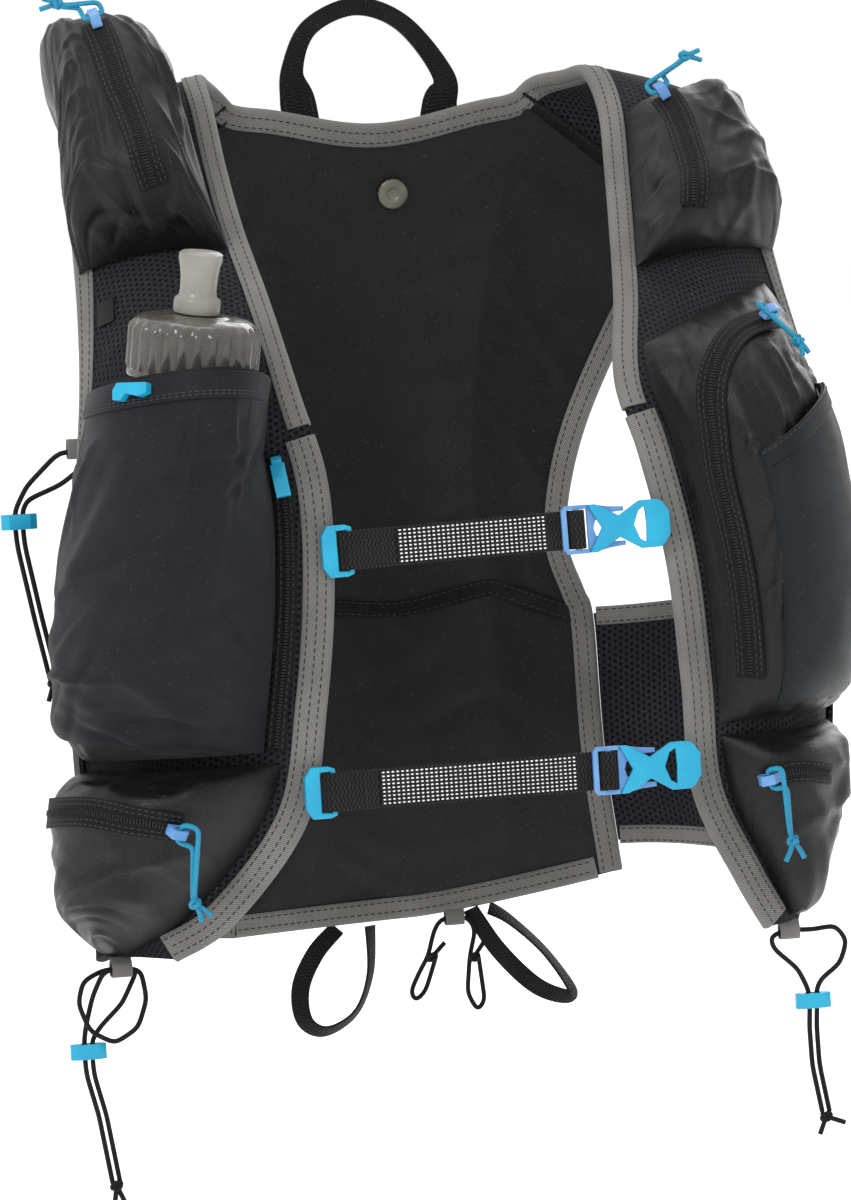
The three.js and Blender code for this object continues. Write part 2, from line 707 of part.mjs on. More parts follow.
// Turning points of each zip on its surface, down and across.
const LEFT_SHOULDER_ZIP = [[0.24, 0.53], [0.49, 0.48], [0.74, 0.37], [0.93, 0.32]];
const RIGHT_SHOULDER_ZIP = [[0.12, 0.2], [0.36, 0.24], [0.67, 0.25], [0.92, 0.24]];
const LEFT_LOWER_ZIP = [[0.15, 0.82], [0.14, 0.55], [0.18, 0.33], [0.22, 0.17]];
const CHEST_ZIP = [[0.11, 0.7], [0.1, 0.45], [0.14, 0.28], [0.24, 0.17], [0.42, 0.11], [0.58, 0.1], [0.75, 0.1], [0.9, 0.1]];
const RIGHT_LOWER_ZIP = [[0.16, 0.12], [0.14, 0.28], [0.17, 0.5]];

/** The straight zip on the cloth between the left rail and the flask pocket. */
function flaskZip() {
  const spots = steps(8.75, 11.4, 9).map((down) => {
    const width = left.at(down, 0).distanceTo(left.at(down, 1));
    const across = (BY_RAIL + FINE_ZIP_WIDTH / 2) / width;
    return { surface: left, down, across, lift: ON_CLOTH + ZIP_THICKNESS / 2 };
  });
  return framesOn(spots);
}

const flaskZipFrames = flaskZip();
add("zip_shoulder_left", zip(leftShoulderPocket, LEFT_SHOULDER_ZIP, 10, ZIP_WIDTH), zipTape);
add("zip_shoulder_right", zip(rightShoulderPocket, RIGHT_SHOULDER_ZIP, 9, ZIP_WIDTH), zipTape);
add("zip_flask_pocket", carried(flaskZipFrames, strip(FINE_ZIP_WIDTH, ZIP_THICKNESS)), zipTape);
add("zip_lower_left", zip(leftLowerPocket, LEFT_LOWER_ZIP, 9, ZIP_WIDTH), zipTape);
add("zip_chest", zip(chestPocket, CHEST_ZIP, 16, ZIP_WIDTH), zipTape);
add("zip_lower_right", zip(rightLowerPocket, RIGHT_LOWER_ZIP, 6, ZIP_WIDTH * 0.7), zipTape);

/** A frame on top of a zip at a share of its length, for what rides there. */
function onZip(surface, turns, share) {
  const spots = [share - 0.01, share, share + 0.01].map((part) => {
    const index = part * (turns.length - 1);
    const [down, across] = [0, 1].map((k) => through(turns.map((turn) => turn[k]), index));
    return { surface, down, across, lift: GAP + ZIP_THICKNESS + GAP };
  });
  return framesOn(spots)[1];
}

/** Moves a geometry into a frame: x along, y out of the surface, z to the side. */
function inFrame(geometry, { at, along, out }) {
  const side = new THREE.Vector3().crossVectors(along, out);
  const turn = new THREE.Matrix4().makeBasis(along, out, side).setPosition(at);
  return geometry.applyMatrix4(turn);
}

/** A zip slider: a low body with a bridge that the pull goes through. */
function slider() {
  const [l, h] = [SLIDER_LENGTH / 2, SLIDER_HEIGHT];
  const bore = PULL_CORD / 2 + GAP;
  const middle = h - bore - 1;
  const eye = steps(0, 5, 5).map((k) => {
    const angle = (k * Math.PI) / 3;
    return [bore * 1.16 * Math.cos(angle), middle + bore * 1.16 * Math.sin(angle)];
  });
  const corners = [[-l, 0], [l, 0], [l, 0.3 * h], [0.6 * l, h], [-0.6 * l, h], [-l, 0.3 * h]];
  return plate(corners, SLIDER_WIDTH, [eye]);
}

/** A round cord along points. */
function cord(points, diameter, sides) {
  const path = new THREE.CatmullRomCurve3(points, false, "centripetal");
  const ring = steps(0, sides - 1, sides - 1).map((k) => {
    const angle = (2 * Math.PI * k) / sides;
    return new THREE.Vector2((diameter / 2) * Math.cos(angle), (diameter / 2) * Math.sin(angle));
  });
  const count = Math.max(3, Math.round(path.getLength() / (2.8 * diameter)));
  const tube = new THREE.ExtrudeGeometry(new THREE.Shape(ring), { steps: count, extrudePath: path, bevelEnabled: false });
  return mergedBare(tube);
}

/** A tied knot's outer form. */
function knot(at, diameter) {
  return mergedBare(new THREE.IcosahedronGeometry(diameter / 2, 1).translate(at.x, at.y, at.z));
}

/** A pull of doubled cord through a slider and past its end, knotted, with two short tails. */
function pull({ at, along, out }, hang, tails) {
  const side = new THREE.Vector3().crossVectors(along, out);
  const eye = at.clone().addScaledVector(out, SLIDER_HEIGHT - PULL_CORD / 2 - GAP - 1);
  const end = eye.clone().add(new THREE.Vector3(...hang));
  const way = Math.sign(along.dot(new THREE.Vector3(...hang)));
  const reach = SLIDER_WIDTH / 2 + PULL_CORD / 2 + 2 * GAP;
  const strand = (turn) => {
    const beside = eye.clone().addScaledVector(side, turn * reach);
    return [
      end.clone().addScaledVector(side, turn * PULL_CORD * 0.66),
      beside.clone().addScaledVector(along, way * (SLIDER_LENGTH / 2 + PULL_CORD)).addScaledVector(out, PULL_CORD),
      beside.clone().addScaledVector(side, turn * GAP).addScaledVector(along, way * 2 * PULL_CORD).addScaledVector(out, PULL_CORD / 2),
      beside,
    ];
  };
  const loop = cord([...strand(-1), eye, ...strand(1).reverse()], PULL_CORD, 6);
  const ends = tails.map((tail) => cord([end, end.clone().add(new THREE.Vector3(...tail))], PULL_CORD, 6));
  return joined([loop, knot(end, PULL_KNOT), ...ends]);
}

/** Adds a slider, and its pull where it has one. */
function addSlider(name, frame, hang, tails) {
  add(`slider_${name}`, inFrame(slider(), frame), violet);
  add(`pull_${name}`, pull(frame, hang, tails), blue);
}

addSlider("shoulder_left", onZip(leftShoulderPocket, LEFT_SHOULDER_ZIP, 0.04), [-14, 3, 9], [[-6, -2, 3], [-7, 1, -1]]);
addSlider("shoulder_right", onZip(rightShoulderPocket, RIGHT_SHOULDER_ZIP, 0.06), [10, -2, 13], [[6, 0, 2], [7, 1, -2]]);
addSlider("lower_left", onZip(leftLowerPocket, LEFT_LOWER_ZIP, 0.96), [4, -5, -27], [[6, 0, -5], [2, -1, -7]]);
addSlider("chest", onZip(chestPocket, CHEST_ZIP, 0.04), [8, -9, -12], [[1, -2, -6], [4, 0, -5]]);
addSlider("lower_right", onZip(rightLowerPocket, RIGHT_LOWER_ZIP, 0.1), [7, -5, -24], [[-3, 1, -8], [4, -1, -7]]);

/** The slider of the flask pocket's side zip with its short braided pull. */
function flaskSlider() {
  const frame = { ...flaskZipFrames[0] };
  frame.at = frame.at.clone().addScaledVector(frame.out, ZIP_THICKNESS / 2 + GAP).addScaledVector(frame.along, 5);
  const braid = plate([[-2, 0], [6, 1.5], [12, 4], [12, 7.5], [5, 8], [-1, 5]], SLIDER_WIDTH * 1.4);
  return joined([inFrame(slider(), frame), inFrame(braid, frame)]);
}

add("slider_flask_pocket", flaskSlider(), blue);

const FLASK_AXIS = new THREE.Vector3(0.11, -0.148, 0.98).normalize();
const capFoot = left.off(CAP_DOWN, CAP_ACROSS, PADDING / 2 + GAP + CAP_RADIUS + 1)
  .addScaledVector(FLASK_AXIS, -CAP_HEIGHT / 2);

/** A turned form standing on a point along the flask's axis. */
function turned(profile, sides, height) {
  const points = profile.map(([radius, along]) => new THREE.Vector2(radius, along));
  const geometry = mergedBare(new THREE.LatheGeometry(points, sides));
  const turn = new THREE.Quaternion().setFromUnitVectors(new THREE.Vector3(0, 1, 0), FLASK_AXIS);
  geometry.applyQuaternion(turn);
  const at = capFoot.clone().addScaledVector(FLASK_AXIS, height);
  return geometry.translate(at.x, at.y, at.z);
}

/** The soft flask below its cap, following the panel inside the pocket. */
function flaskBody() {
  const profile = table(["row", "width", "depth"], [
    [8.6, 0.93, 0.97],
    [9, 1, 1],
    [9.6, 1, 1],
    [10.2, 0.98, 0.95],
    [10.7, 0.82, 0.76],
    [11, 0.55, 0.45],
  ]);
  const ring = steps(0, 9, 9).map((k) => new THREE.Vector2(Math.cos(k * 0.2 * Math.PI), Math.sin(k * 0.2 * Math.PI)));
  const lift = PADDING / 2 + GAP + FLASK_DEPTH / 2 + 2.6;
  const frames = framesOn(profile.map(({ row }) => ({ surface: left, down: row, across: BODY_ACROSS, lift })));
  const scaled = profile.map(({ width, depth }, index) => ({ ...frames[index], wide: width, thick: depth }));
  const across = scaled[0].side.clone();
  across.addScaledVector(FLASK_AXIS, -across.dot(FLASK_AXIS)).normalize();
  const shoulder = new THREE.Vector3().crossVectors(across, FLASK_AXIS).normalize();
  const neck = [[-GAP, 0.7], [-6, 0.74], [-14, 0.8]].map(([along, size]) => ({
    at: capFoot.clone().addScaledVector(FLASK_AXIS, along),
    side: across,
    out: shoulder.dot(scaled[0].out) > 0 ? shoulder : shoulder.clone().negate(),
    wide: size * (2 * CAP_RADIUS / FLASK_WIDTH),
    thick: size * (2 * CAP_RADIUS / FLASK_DEPTH) * 0.9,
  }));
  const outline = ring.map((corner) => new THREE.Vector2((corner.x * FLASK_WIDTH) / 2, (corner.y * FLASK_DEPTH) / 2));
  return carried([...neck, ...scaled], outline);
}

const smoky = finish(0x8a877f, 0.35);
add("flask_body", flaskBody(), finish(0x9c9a94, 0.3));
add("flask_cap", turned([
  [0, 0], [CAP_RADIUS - 1.5, 0], [CAP_RADIUS, 2], [CAP_RADIUS, CAP_HEIGHT - 5],
  [CAP_RADIUS - 3, CAP_HEIGHT - 1], [VALVE_RADIUS + 3, CAP_HEIGHT], [0, CAP_HEIGHT],
], 20, 0), smoky);
add("flask_valve", turned([
  [0, 0], [VALVE_RADIUS, 0], [VALVE_RADIUS, 6], [VALVE_RADIUS * 0.8, 9], [VALVE_RADIUS * 0.86, VALVE_HEIGHT - 6],
  [VALVE_RADIUS * 0.95, VALVE_HEIGHT], [0, VALVE_HEIGHT],
], 12, CAP_HEIGHT + GAP), smoky);

/** The cord hook at the mouth of the flask pocket. */
function mouthHook() {
  const spots = [0.56, 0.63, 0.7].map((across) => ({ surface: flaskPocket, down: 0.03, across, lift: GAP + 2 }));
  const corners = [[-8, -2], [6, -3.5], [8, -1], [8, 3], [4, 3.5], [2, 1], [-4, 3], [-8, 2]];
  const frame = framesOn(spots)[1];
  const flat = plate(corners, 4);
  const turn = new THREE.Matrix4().makeBasis(frame.along, frame.side, frame.out.clone()).setPosition(frame.at);
  if (turn.determinant() < 0) {
    turn.makeBasis(frame.along, frame.side.clone().negate(), frame.out).setPosition(frame.at);
  }
  return flat.applyMatrix4(turn);
}

add("mouth_hook", mouthHook(), blue);

/** The small blank tab by the flask. */
function sizeTab() {
  const width = left.at(7.07, 0).distanceTo(left.at(7.07, 1));
  const across = 1 - (BY_BINDING + 5) / width;
  const spots = [6.9, 7.25].map((down) => ({ surface: left, down, across, lift: ON_CLOTH + 0.5 }));
  return carried(framesOn(spots), strip(8, 1));
}

add("size_tab", sizeTab(), blackCord);

/** The snap disc on the liner. */
function snapDisc() {
  const at = back.off(1.19, 0.53, -(ON_CLOTH + 2.2));
  const turn = new THREE.Quaternion().setFromUnitVectors(new THREE.Vector3(0, 1, 0), back.out(1.19, 0.53));
  const profile = [[0, 0.4], [2.2, 0.4], [2.6, 0], [6, 0], [6.5, 0.6], [6.5, 1.4], [0, 1.4]];
  const disc = new THREE.LatheGeometry(profile.map(([x, y]) => new THREE.Vector2(x, y)), 16);
  return mergedBare(disc).applyQuaternion(turn).translate(at.x, at.y, at.z);
}

add("snap_disc", snapDisc(), finish(0x6b675f, 0.4, 0.6));

/** Frames along a path in a plane of even depth, with the tape's width in that plane or across it. */
function planeFrames(points, flat) {
  return points.map((at, index) => {
    const before = points[Math.max(index - 1, 0)];
    const after = points[Math.min(index + 1, points.length - 1)];
    const along = new THREE.Vector3().subVectors(after, before).normalize();
    const back = new THREE.Vector3(0, 1, 0);
    const over = new THREE.Vector3().crossVectors(back, along).normalize();
    return flat ? { at, along, side: over, out: back } : { at, along, side: back, out: over };
  });
}

/** The grab loop over the back of the neck, its webbing folded narrow round the arch. */
function haulLoop() {
  const path = table(["across", "up", "wide", "thick"], [
    [-29.5, -22, 1, 1],
    [-31.5, -8, 1, 1],
    [-33, 5, 0.62, 2],
    [-25, 22, 0.5, 3],
    [-5, 30, 0.5, 3],
    [15, 22, 0.5, 3],
    [31, 0, 0.62, 2],
    [29, -12, 1, 1],
    [26, -28, 1, 1],
  ]);
  const depth = back.at(0.5, 0.3).y + TAPE_TOP + GAP + WEBBING_THICKNESS * 1.5;
  const column = (name, index) => through(path.map((row) => row[name]), index);
  const indexes = steps(0, path.length - 1, 16);
  const points = indexes.map((index) => new THREE.Vector3(column("across", index), depth, column("up", index)));
  const frames = planeFrames(points, true).map((frame, k) => ({
    ...frame,
    wide: column("wide", indexes[k]),
    thick: column("thick", indexes[k]),
  }));
  return carried(frames, strip(WEBBING, WEBBING_THICKNESS));
}

add("haul_loop", haulLoop(), webbingCloth);

/** A webbing loop hanging from the hem. Points are across and down from the loop's own root. */
function webbingLoop(across, turns) {
  const root = back.at(9, across).add(new THREE.Vector3(0, 0, -TAPE_EDGE - 2 * GAP));
  const points = steps(0, turns.length - 1, 16).map((index) => new THREE.Vector3(
    root.x + through(turns.map((turn) => turn[0]), index),
    root.y,
    root.z - through(turns.map((turn) => turn[1]), index),
  ));
  return carried(planeFrames(points, false), strip(NARROW_WEBBING, WEBBING_THICKNESS));
}

add("webbing_loop_left", webbingLoop(0.33, [
  [-3, 0], [-13, 10], [-20, 24], [-19, 38], [-10, 43], [3, 36], [10, 20], [11, 0],
]), webbingCloth);
add("webbing_loop_right", webbingLoop(0.66, [
  [-3, 0], [8, 18], [23, 34], [36, 40], [39, 37], [28, 20], [14, 6], [5, 0],
]), webbingCloth);

/** The frame of a sternum strap from the left rail to the right one, x along it and y to the back. */
function strapFrame(leftDown, rightDown) {
  const seat = (surface, down) => {
    const near = [-0.25, 0, 0.25].map((step) => surface.off(down + step, 0, TAPE_TOP).y);
    const at = surface.at(down, 0);
    return new THREE.Vector3(at.x, Math.min(...near) - 0.2 - GAP - CLIP_THICKNESS / 2, at.z);
  };
  const start = seat(left, leftDown);
  const end = seat(right, rightDown);
  const along = end.clone().sub(start).normalize();
  const up = new THREE.Vector3(0, 0, 1).addScaledVector(along, -along.z).normalize();
  const matrix = new THREE.Matrix4().makeBasis(along, new THREE.Vector3().crossVectors(up, along), up);
  return { matrix: matrix.setPosition(start), length: start.distanceTo(end) };
}

/** An outline of x and height given a thickness about a depth, in a strap's frame. */
function facing(corners, depth, thickness, holes = []) {
  return plate(corners, thickness, holes).rotateX(Math.PI / 2).translate(0, depth, 0);
}

/** Half of an outline followed by its mirror image below. */
function mirrored(half) {
  return [...half, ...half.filter(([, z]) => z !== 0).reverse().map(([x, z]) => [x, -z])];
}

/** The clip that holds a strap's fixed end to the left rail. */
function strapClip({ matrix }) {
  const h = CLIP_HEIGHT / 2;
  const outline = mirrored([[7.6, 0.9 * h], [5, h], [-2, h], [-4.6, 0.6 * h]]);
  const hole = [[1.5, -0.79 * h], [5.6, -0.79 * h], [5.6, 0.79 * h], [1.5, 0.79 * h]];
  return facing(outline, 0, CLIP_THICKNESS, [hole]).applyMatrix4(matrix);
}

/** The ribbon, folded round the clip's bar and threaded over the two bars of the buckle. */
function ribbon({ matrix, length }) {
  const start = length - BUCKLE_REACH;
  const path = [
    [24, -1], [9, -2.5], [5.2, -2.5], [3.2, 0], [5.2, 2.5], [9, 2.5], [24, 0.4], [start - 17, 0.4],
    [start - 2, 1.9], [start + 2.4, 1.9], [start + 3.6, 0], [start + 4.8, -1.9], [start + 7.6, -1.9],
    [start + 8.9, -0.3], [start + 9, 1.6], [start + 7.6, 3.3], [start + 2.4, 3.4], [start - 2, 3.4],
    [start - 15, 2.2],
  ];
  const points = path.map(([x, y]) => new THREE.Vector3(x, y, 0));
  const up = new THREE.Vector3(0, 0, 1);
  const frames = points.map((at, index) => {
    const before = points[Math.max(index - 1, 0)];
    const after = points[Math.min(index + 1, points.length - 1)];
    const along = new THREE.Vector3().subVectors(after, before).normalize();
    return { at, side: up, out: new THREE.Vector3().crossVectors(along, up) };
  });
  return carried(frames, strip(WEBBING, WEBBING_THICKNESS)).applyMatrix4(matrix);
}

/** The buckle's male half: a ring with two bars and a plate with two sprung arms behind. */
function maleHalf({ matrix, length }) {
  const h = MALE_HEIGHT / 2;
  const slot = 0.83 * h;
  const ring = mirrored([[10.1, slot], [10.1, h], [1.5, h], [0, 0.8 * h]]);
  const notch = [[7.2, -slot], [7.2, slot]];
  const outline = [...ring.slice(0, 4), ...ring.slice(4), ...notch];
  const hole = [[2, -slot], [5.2, -slot], [5.2, slot], [2, slot]];
  const arms = [[9, slot], [10.2, slot], [10.2, -slot], [9, -slot], [9, -h], [13.4, -0.97 * h], [19, -0.85 * h]];
  arms.push([25, -0.8 * h], [25, -0.62 * h], [19, -0.6 * h], [13.4, -0.3 * h], [12.6, 0], [13.4, 0.3 * h]);
  arms.push([19, 0.6 * h], [25, 0.62 * h], [25, 0.8 * h], [19, 0.85 * h], [13.4, 0.97 * h], [9, h]);
  const body = joined([facing(outline, 0, 2, [hole]), facing(arms, 0.7, 1.4)]);
  return body.translate(length - BUCKLE_REACH, 0, 0).applyMatrix4(matrix);
}

/** The buckle's female half in front, with the foot that holds it to the right rail. */
function femaleHalf({ matrix, length }) {
  const h = FEMALE_HEIGHT / 2;
  const outline = mirrored([
    [15.6, 0], [10.4, h], [13.4, h], [16.4, 0.85 * h], [22.6, 0.45 * h], [31, h], [38.5, h], [40.2, 0.88 * h],
    [42.8, 0.48 * h],
  ]);
  const lens = mirrored([[33.4, 0], [33, 0.75 * h], [30.5, 0.59 * h], [28.4, 0]]);
  const foot = mirrored([[42.4, 0.42 * h], [38.4, 0.42 * h]]);
  const body = joined([
    facing(outline, -1.1, 1.6, [lens]),
    facing(foot, CLIP_THICKNESS / 2 - 1.45, 2.9),
  ]);
  return body.translate(length - BUCKLE_REACH, 0, 0).applyMatrix4(matrix);
}

/** Adds one sternum strap with its clip and its buckle. */
function addStrap(name, frame) {
  add(`sternum_strap_${name}`, ribbon(frame), webbingCloth);
  add(`strap_clip_${name}`, strapClip(frame), blue);
  add(`buckle_male_${name}`, maleHalf(frame), violet);
  add(`buckle_female_${name}`, femaleHalf(frame), blue);
}

addStrap("upper", strapFrame(9.7, 9.65));
addStrap("lower", strapFrame(11.75, 11.72));

/** Points from plain coordinates. */
function spotsOf(list) {
  return list.map(([x, y, z]) => new THREE.Vector3(x, y, z));
}

/** A lock that two strands side by side run through, at the middle between them. */
function cordLock(at, lean) {
  const slot = { x: (STRAND_PITCH + ELASTIC_CORD) / 2 + GAP, y: ELASTIC_CORD / 2 + GAP };
  const [x, y] = [LOCK_LENGTH / 2, LOCK_DEPTH / 2];
  const outline = [[-x, -0.5 * y], [-0.6 * x, -y], [0.6 * x, -y], [x, -0.5 * y]];
  outline.push([x, 0.5 * y], [0.6 * x, y], [-0.6 * x, y], [-x, 0.5 * y]);
  const hole = [[-slot.x, -slot.y], [slot.x, -slot.y], [slot.x, slot.y], [-slot.x, slot.y]];
  return plate(outline, LOCK_DEPTH, [hole]).rotateY(lean).translate(at.x, at.y, at.z);
}

// The routes of the elastic cords, in place, each from its lowest knot up and back.
const LEFT_HEM_ROUTE = [
  [-156.5, -90, -432], [-160.5, -90, -405], [-164.4, -90, -389], [-164.7, -90, -384], [-164.7, -90, -375],
  [-163.6, -90.2, -369], [-160.6, -91, -358], [-156.2, -93.6, -348.2], [-148.9, -93.8, -347.5],
  [-141.4, -94, -348.6], [-139.8, -95, -360], [-144, -96, -371], [-153.6, -96.4, -376.4], [-163, -96, -371],
  [-167, -95, -360], [-164.4, -93, -351.6], [-156.6, -90.8, -348.2], [-148.9, -90.8, -347.5],
  [-142, -90, -348.6], [-148.5, -87.6, -362], [-157.5, -88.6, -370], [-161.7, -90, -375], [-161.7, -90, -384],
  [-161.4, -90, -389], [-157.5, -90, -405], [-153.5, -90, -432],
];
const RIGHT_HEM_ROUTE = [
  [129.2, -103, -425], [126, -103, -406], [125.6, -103, -390], [126.1, -103, -384], [126.1, -103, -376],
  [122, -103, -367], [112, -104, -358], [110.6, -105, -353], [118.3, -105.4, -350.8], [128, -105, -351.5],
  [138, -104, -350.6], [142.8, -103, -357], [139.6, -103, -366], [131, -103, -372], [129.1, -103, -376],
  [129.1, -103, -384], [128.6, -103, -390], [129, -103, -406], [132.2, -103, -425],
];
const SIDE_ROUTE = [
  [-167, -68, -234], [-171.6, -68, -211], [-176.6, -66.4, -182], [-177, -66, -176], [-177, -66, -167.4],
  [-172, -67, -158], [-160, -72.6, -145.8], [-153.5, -73, -144.9], [-147.4, -72, -146.6], [-150, -68, -152], [-158, -66, -158],
  [-172, -66, -163.4], [-174, -66, -167.6], [-174, -66, -176], [-173.6, -66.4, -182], [-168.6, -68, -211],
  [-164, -68, -234],
];
const BACK_ROUTE = [
  [9, 59.9, -370.5], [4, 59.9, -384], [-0.5, 59.9, -388], [-2.6, 59.9, -384], [1.6, 59.9, -376],
  [6, 59.9, -369], [8.6, 59.9, -359.6], [11.4, 59.9, -354.4], [17.9, 59.9, -353.4], [24.4, 59.9, -354.4],
  [26.8, 59.9, -359.6], [23.8, 59.9, -370.6], [22, 59.9, -386], [26, 59.9, -394], [29.4, 59.9, -390],
  [27.6, 59.9, -371],
];

/** A loose elastic cord with knots on it and short tails below some of them. */
function elastic(points, knots, tails) {
  const ends = tails.map((tail) => cord(spotsOf(tail), ELASTIC_CORD, 8));
  const ties = spotsOf(knots).map((at) => knot(at, CORD_KNOT));
  return joined([cord(spotsOf(points), ELASTIC_CORD, 8), ...ties, ...ends]);
}

add("left_hem_cord", elastic(LEFT_HEM_ROUTE, [[-155, -90, -433]], [
  [[-155, -90, -433], [-156.2, -90, -441]],
  [[-155, -90, -433], [-151.8, -90, -440.4]],
]), blackCord);
add("right_hem_cord", elastic(RIGHT_HEM_ROUTE, [[130.7, -103, -427]], [
  [[130.7, -103, -427], [138.4, -103, -430]],
  [[130.7, -103, -427], [127.8, -103, -434]],
]), blackCord);
add("side_cord", elastic(SIDE_ROUTE, [[-165.5, -68, -235.4]], [
  [[-165.5, -68, -235.4], [-168, -68, -243]],
  [[-165.5, -68, -235.4], [-162.8, -68, -243.6]],
]), blackCord);
add("back_cord", elastic(BACK_ROUTE, [[7.5, 60, -369.8], [25.7, 60, -371]], [
  [[7.5, 60, -369.8], [13.4, 60, -364]],
  [[25.7, 60, -371], [31, 60, -364]],
]), blackCord);

add("cord_lock_left", cordLock(new THREE.Vector3(-163.2, -90, -379.5), 0), blue);
add("cord_lock_right", cordLock(new THREE.Vector3(127.6, -103, -380), 0), blue);
add("cord_lock_side", cordLock(new THREE.Vector3(-175.5, -66, -171.7), 0), blue);

export default vest;
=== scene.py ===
"""A running hydration vest in its worn form, dressed in cloth, tape, webbing and plastic.

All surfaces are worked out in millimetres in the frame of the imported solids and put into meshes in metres.
The wearer faces -Y and +Z is up. Left and right are as seen from the front, so left is at -X.
"""

import logging
from dataclasses import dataclass, field
from enum import Enum

import bmesh
import bpy
import numpy as np
from mathutils import Matrix, Vector
from numpy.typing import NDArray

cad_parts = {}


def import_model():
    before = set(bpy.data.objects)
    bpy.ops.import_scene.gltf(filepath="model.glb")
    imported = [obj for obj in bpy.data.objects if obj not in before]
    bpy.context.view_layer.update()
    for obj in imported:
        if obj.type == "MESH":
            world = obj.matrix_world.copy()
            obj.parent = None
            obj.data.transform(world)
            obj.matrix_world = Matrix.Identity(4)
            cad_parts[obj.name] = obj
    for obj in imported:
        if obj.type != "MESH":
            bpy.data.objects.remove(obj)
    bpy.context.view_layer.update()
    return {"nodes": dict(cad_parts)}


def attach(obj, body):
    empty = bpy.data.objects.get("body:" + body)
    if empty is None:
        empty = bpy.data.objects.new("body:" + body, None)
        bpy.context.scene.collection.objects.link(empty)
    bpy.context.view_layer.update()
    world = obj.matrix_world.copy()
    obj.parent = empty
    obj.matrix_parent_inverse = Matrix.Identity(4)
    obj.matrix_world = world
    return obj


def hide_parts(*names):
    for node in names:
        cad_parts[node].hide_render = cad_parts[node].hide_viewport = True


Array = NDArray[np.float64]
LOG = logging.getLogger("vest")
MM = 0.001

HALF_CHEST = 150.0
FRONT_REACH = 145.0
BACK_REACH = 60.0
DROP = 350.0
NECK_DIP = 9.0
NECK_SHARE = 0.496
YOKE_GAP = 2.4
HEM_LEFT, HEM_MIDDLE, HEM_RIGHT = 1.009, 1.003, 0.963

PADDING = 3.0
TAPE_EDGE = 1.8
TAPE_WALL = 1.2
BINDING_REACH = 8.0
RAIL_REACH = 10.5
GAP = 0.4
TAPE_TOP = PADDING / 2 + GAP + TAPE_WALL
ON_CLOTH = PADDING / 2 + GAP
ZIP_WIDTH = 12.0
FINE_ZIP_WIDTH = 7.0
ZIP_THICKNESS = 1.6
WEBBING = 15.0
WEBBING_THICKNESS = 1.0
NARROW_WEBBING = 8.0
SLIDER_LENGTH = 9.0
SLIDER_WIDTH = 4.0
SLIDER_HEIGHT = 5.0
PULL_CORD = 2.0
ELASTIC_CORD = 2.0
CORD_KNOT = 5.6
BUCKLE_REACH = 41.0
CLIP_THICKNESS = 3.2
NECK_END = 8.4
ARM_END = 9.8
EDGE_COLUMN = 0.13
BY_RAIL = RAIL_REACH + GAP
BY_FINE_ZIP = BY_RAIL + FINE_ZIP_WIDTH + GAP
BY_BINDING = BINDING_REACH + GAP

# Section tables: inner x, front, down; outer x, front, down; crown. All are shares of the sizes above.
LEFT_SECTIONS = np.array([
    [0.4, -0.775, 0.026, 0.807, -0.667, 0.177, 0.02],
    [0.44, -0.7, 0.009, 0.847, -0.55, 0.123, 0.02],
    [0.493, -0.367, 0, 0.887, -0.267, 0.08, 0.02],
    [0.533, 0.014, 0, 0.92, 0.028, 0.057, 0.02],
    [0.54, 0.165, 0.04, 0.947, 0.138, 0.077, 0.027],
    [0.54, 0.303, 0.103, 0.963, 0.234, 0.131, 0.033],
    [0.533, 0.483, 0.177, 0.973, 0.345, 0.206, 0.047],
    [0.513, 0.69, 0.257, 0.983, 0.441, 0.269, 0.067],
    [0.487, 0.897, 0.357, 1, 0.524, 0.349, 0.093],
    [0.44, 0.979, 0.457, 1.02, 0.51, 0.451, 0.113],
    [0.44, 1, 0.571, 1.033, 0.469, 0.566, 0.127],
    [0.473, 0.99, 0.7, 1.027, 0.441, 0.694, 0.127],
    [0.533, 0.952, 0.831, 1.02, 0.455, 0.829, 0.1],
    [0.713, 0.848, 0.94, 1.02, 0.538, 0.937, 0.04],
    [0.853, 0.752, 0.982, 1.027, 0.593, 0.982, 0.013],
])
RIGHT_SECTIONS = np.array([
    [0.387, -0.775, 0.026, 0.793, -0.667, 0.171, 0.02],
    [0.427, -0.7, 0.011, 0.833, -0.55, 0.12, 0.02],
    [0.473, -0.367, 0.009, 0.873, -0.267, 0.08, 0.02],
    [0.507, 0.014, 0.009, 0.9, 0.028, 0.06, 0.02],
    [0.513, 0.165, 0.057, 0.92, 0.138, 0.083, 0.027],
    [0.487, 0.317, 0.131, 0.927, 0.234, 0.14, 0.033],
    [0.447, 0.51, 0.206, 0.927, 0.345, 0.211, 0.047],
    [0.4, 0.717, 0.277, 0.933, 0.441, 0.277, 0.067],
    [0.345, 0.91, 0.366, 0.96, 0.524, 0.36, 0.093],
    [0.385, 0.979, 0.449, 0.987, 0.524, 0.449, 0.113],
    [0.44, 1, 0.569, 1, 0.483, 0.566, 0.127],
    [0.467, 0.99, 0.7, 0.993, 0.455, 0.694, 0.127],
    [0.493, 0.952, 0.831, 0.967, 0.469, 0.829, 0.1],
    [0.613, 0.876, 0.934, 0.88, 0.607, 0.931, 0.04],
    [0.7, 0.814, 0.993, 0.813, 0.69, 0.99, 0.013],
])
# Back sections: down, half width, depth of the middle, forward bend at the sides.
BACK_SECTIONS = np.array([
    [0, 0.82, 0.83, 0.17], [0.07, 0.79, 0.95, 0.2], [0.15, 0.7, 1.03, 0.25], [0.29, 0.573, 1.08, 0.25],
    [0.4, 0.513, 1.07, 0.17], [0.49, 0.49, 1.03, 0.18], [0.565, 0.527, 1, 0.2], [0.61, 0.547, 0.98, 0.2],
    [0.81, 0.553, 0.95, 0.23], [1, 0.593, 1.02, 0.25],
])


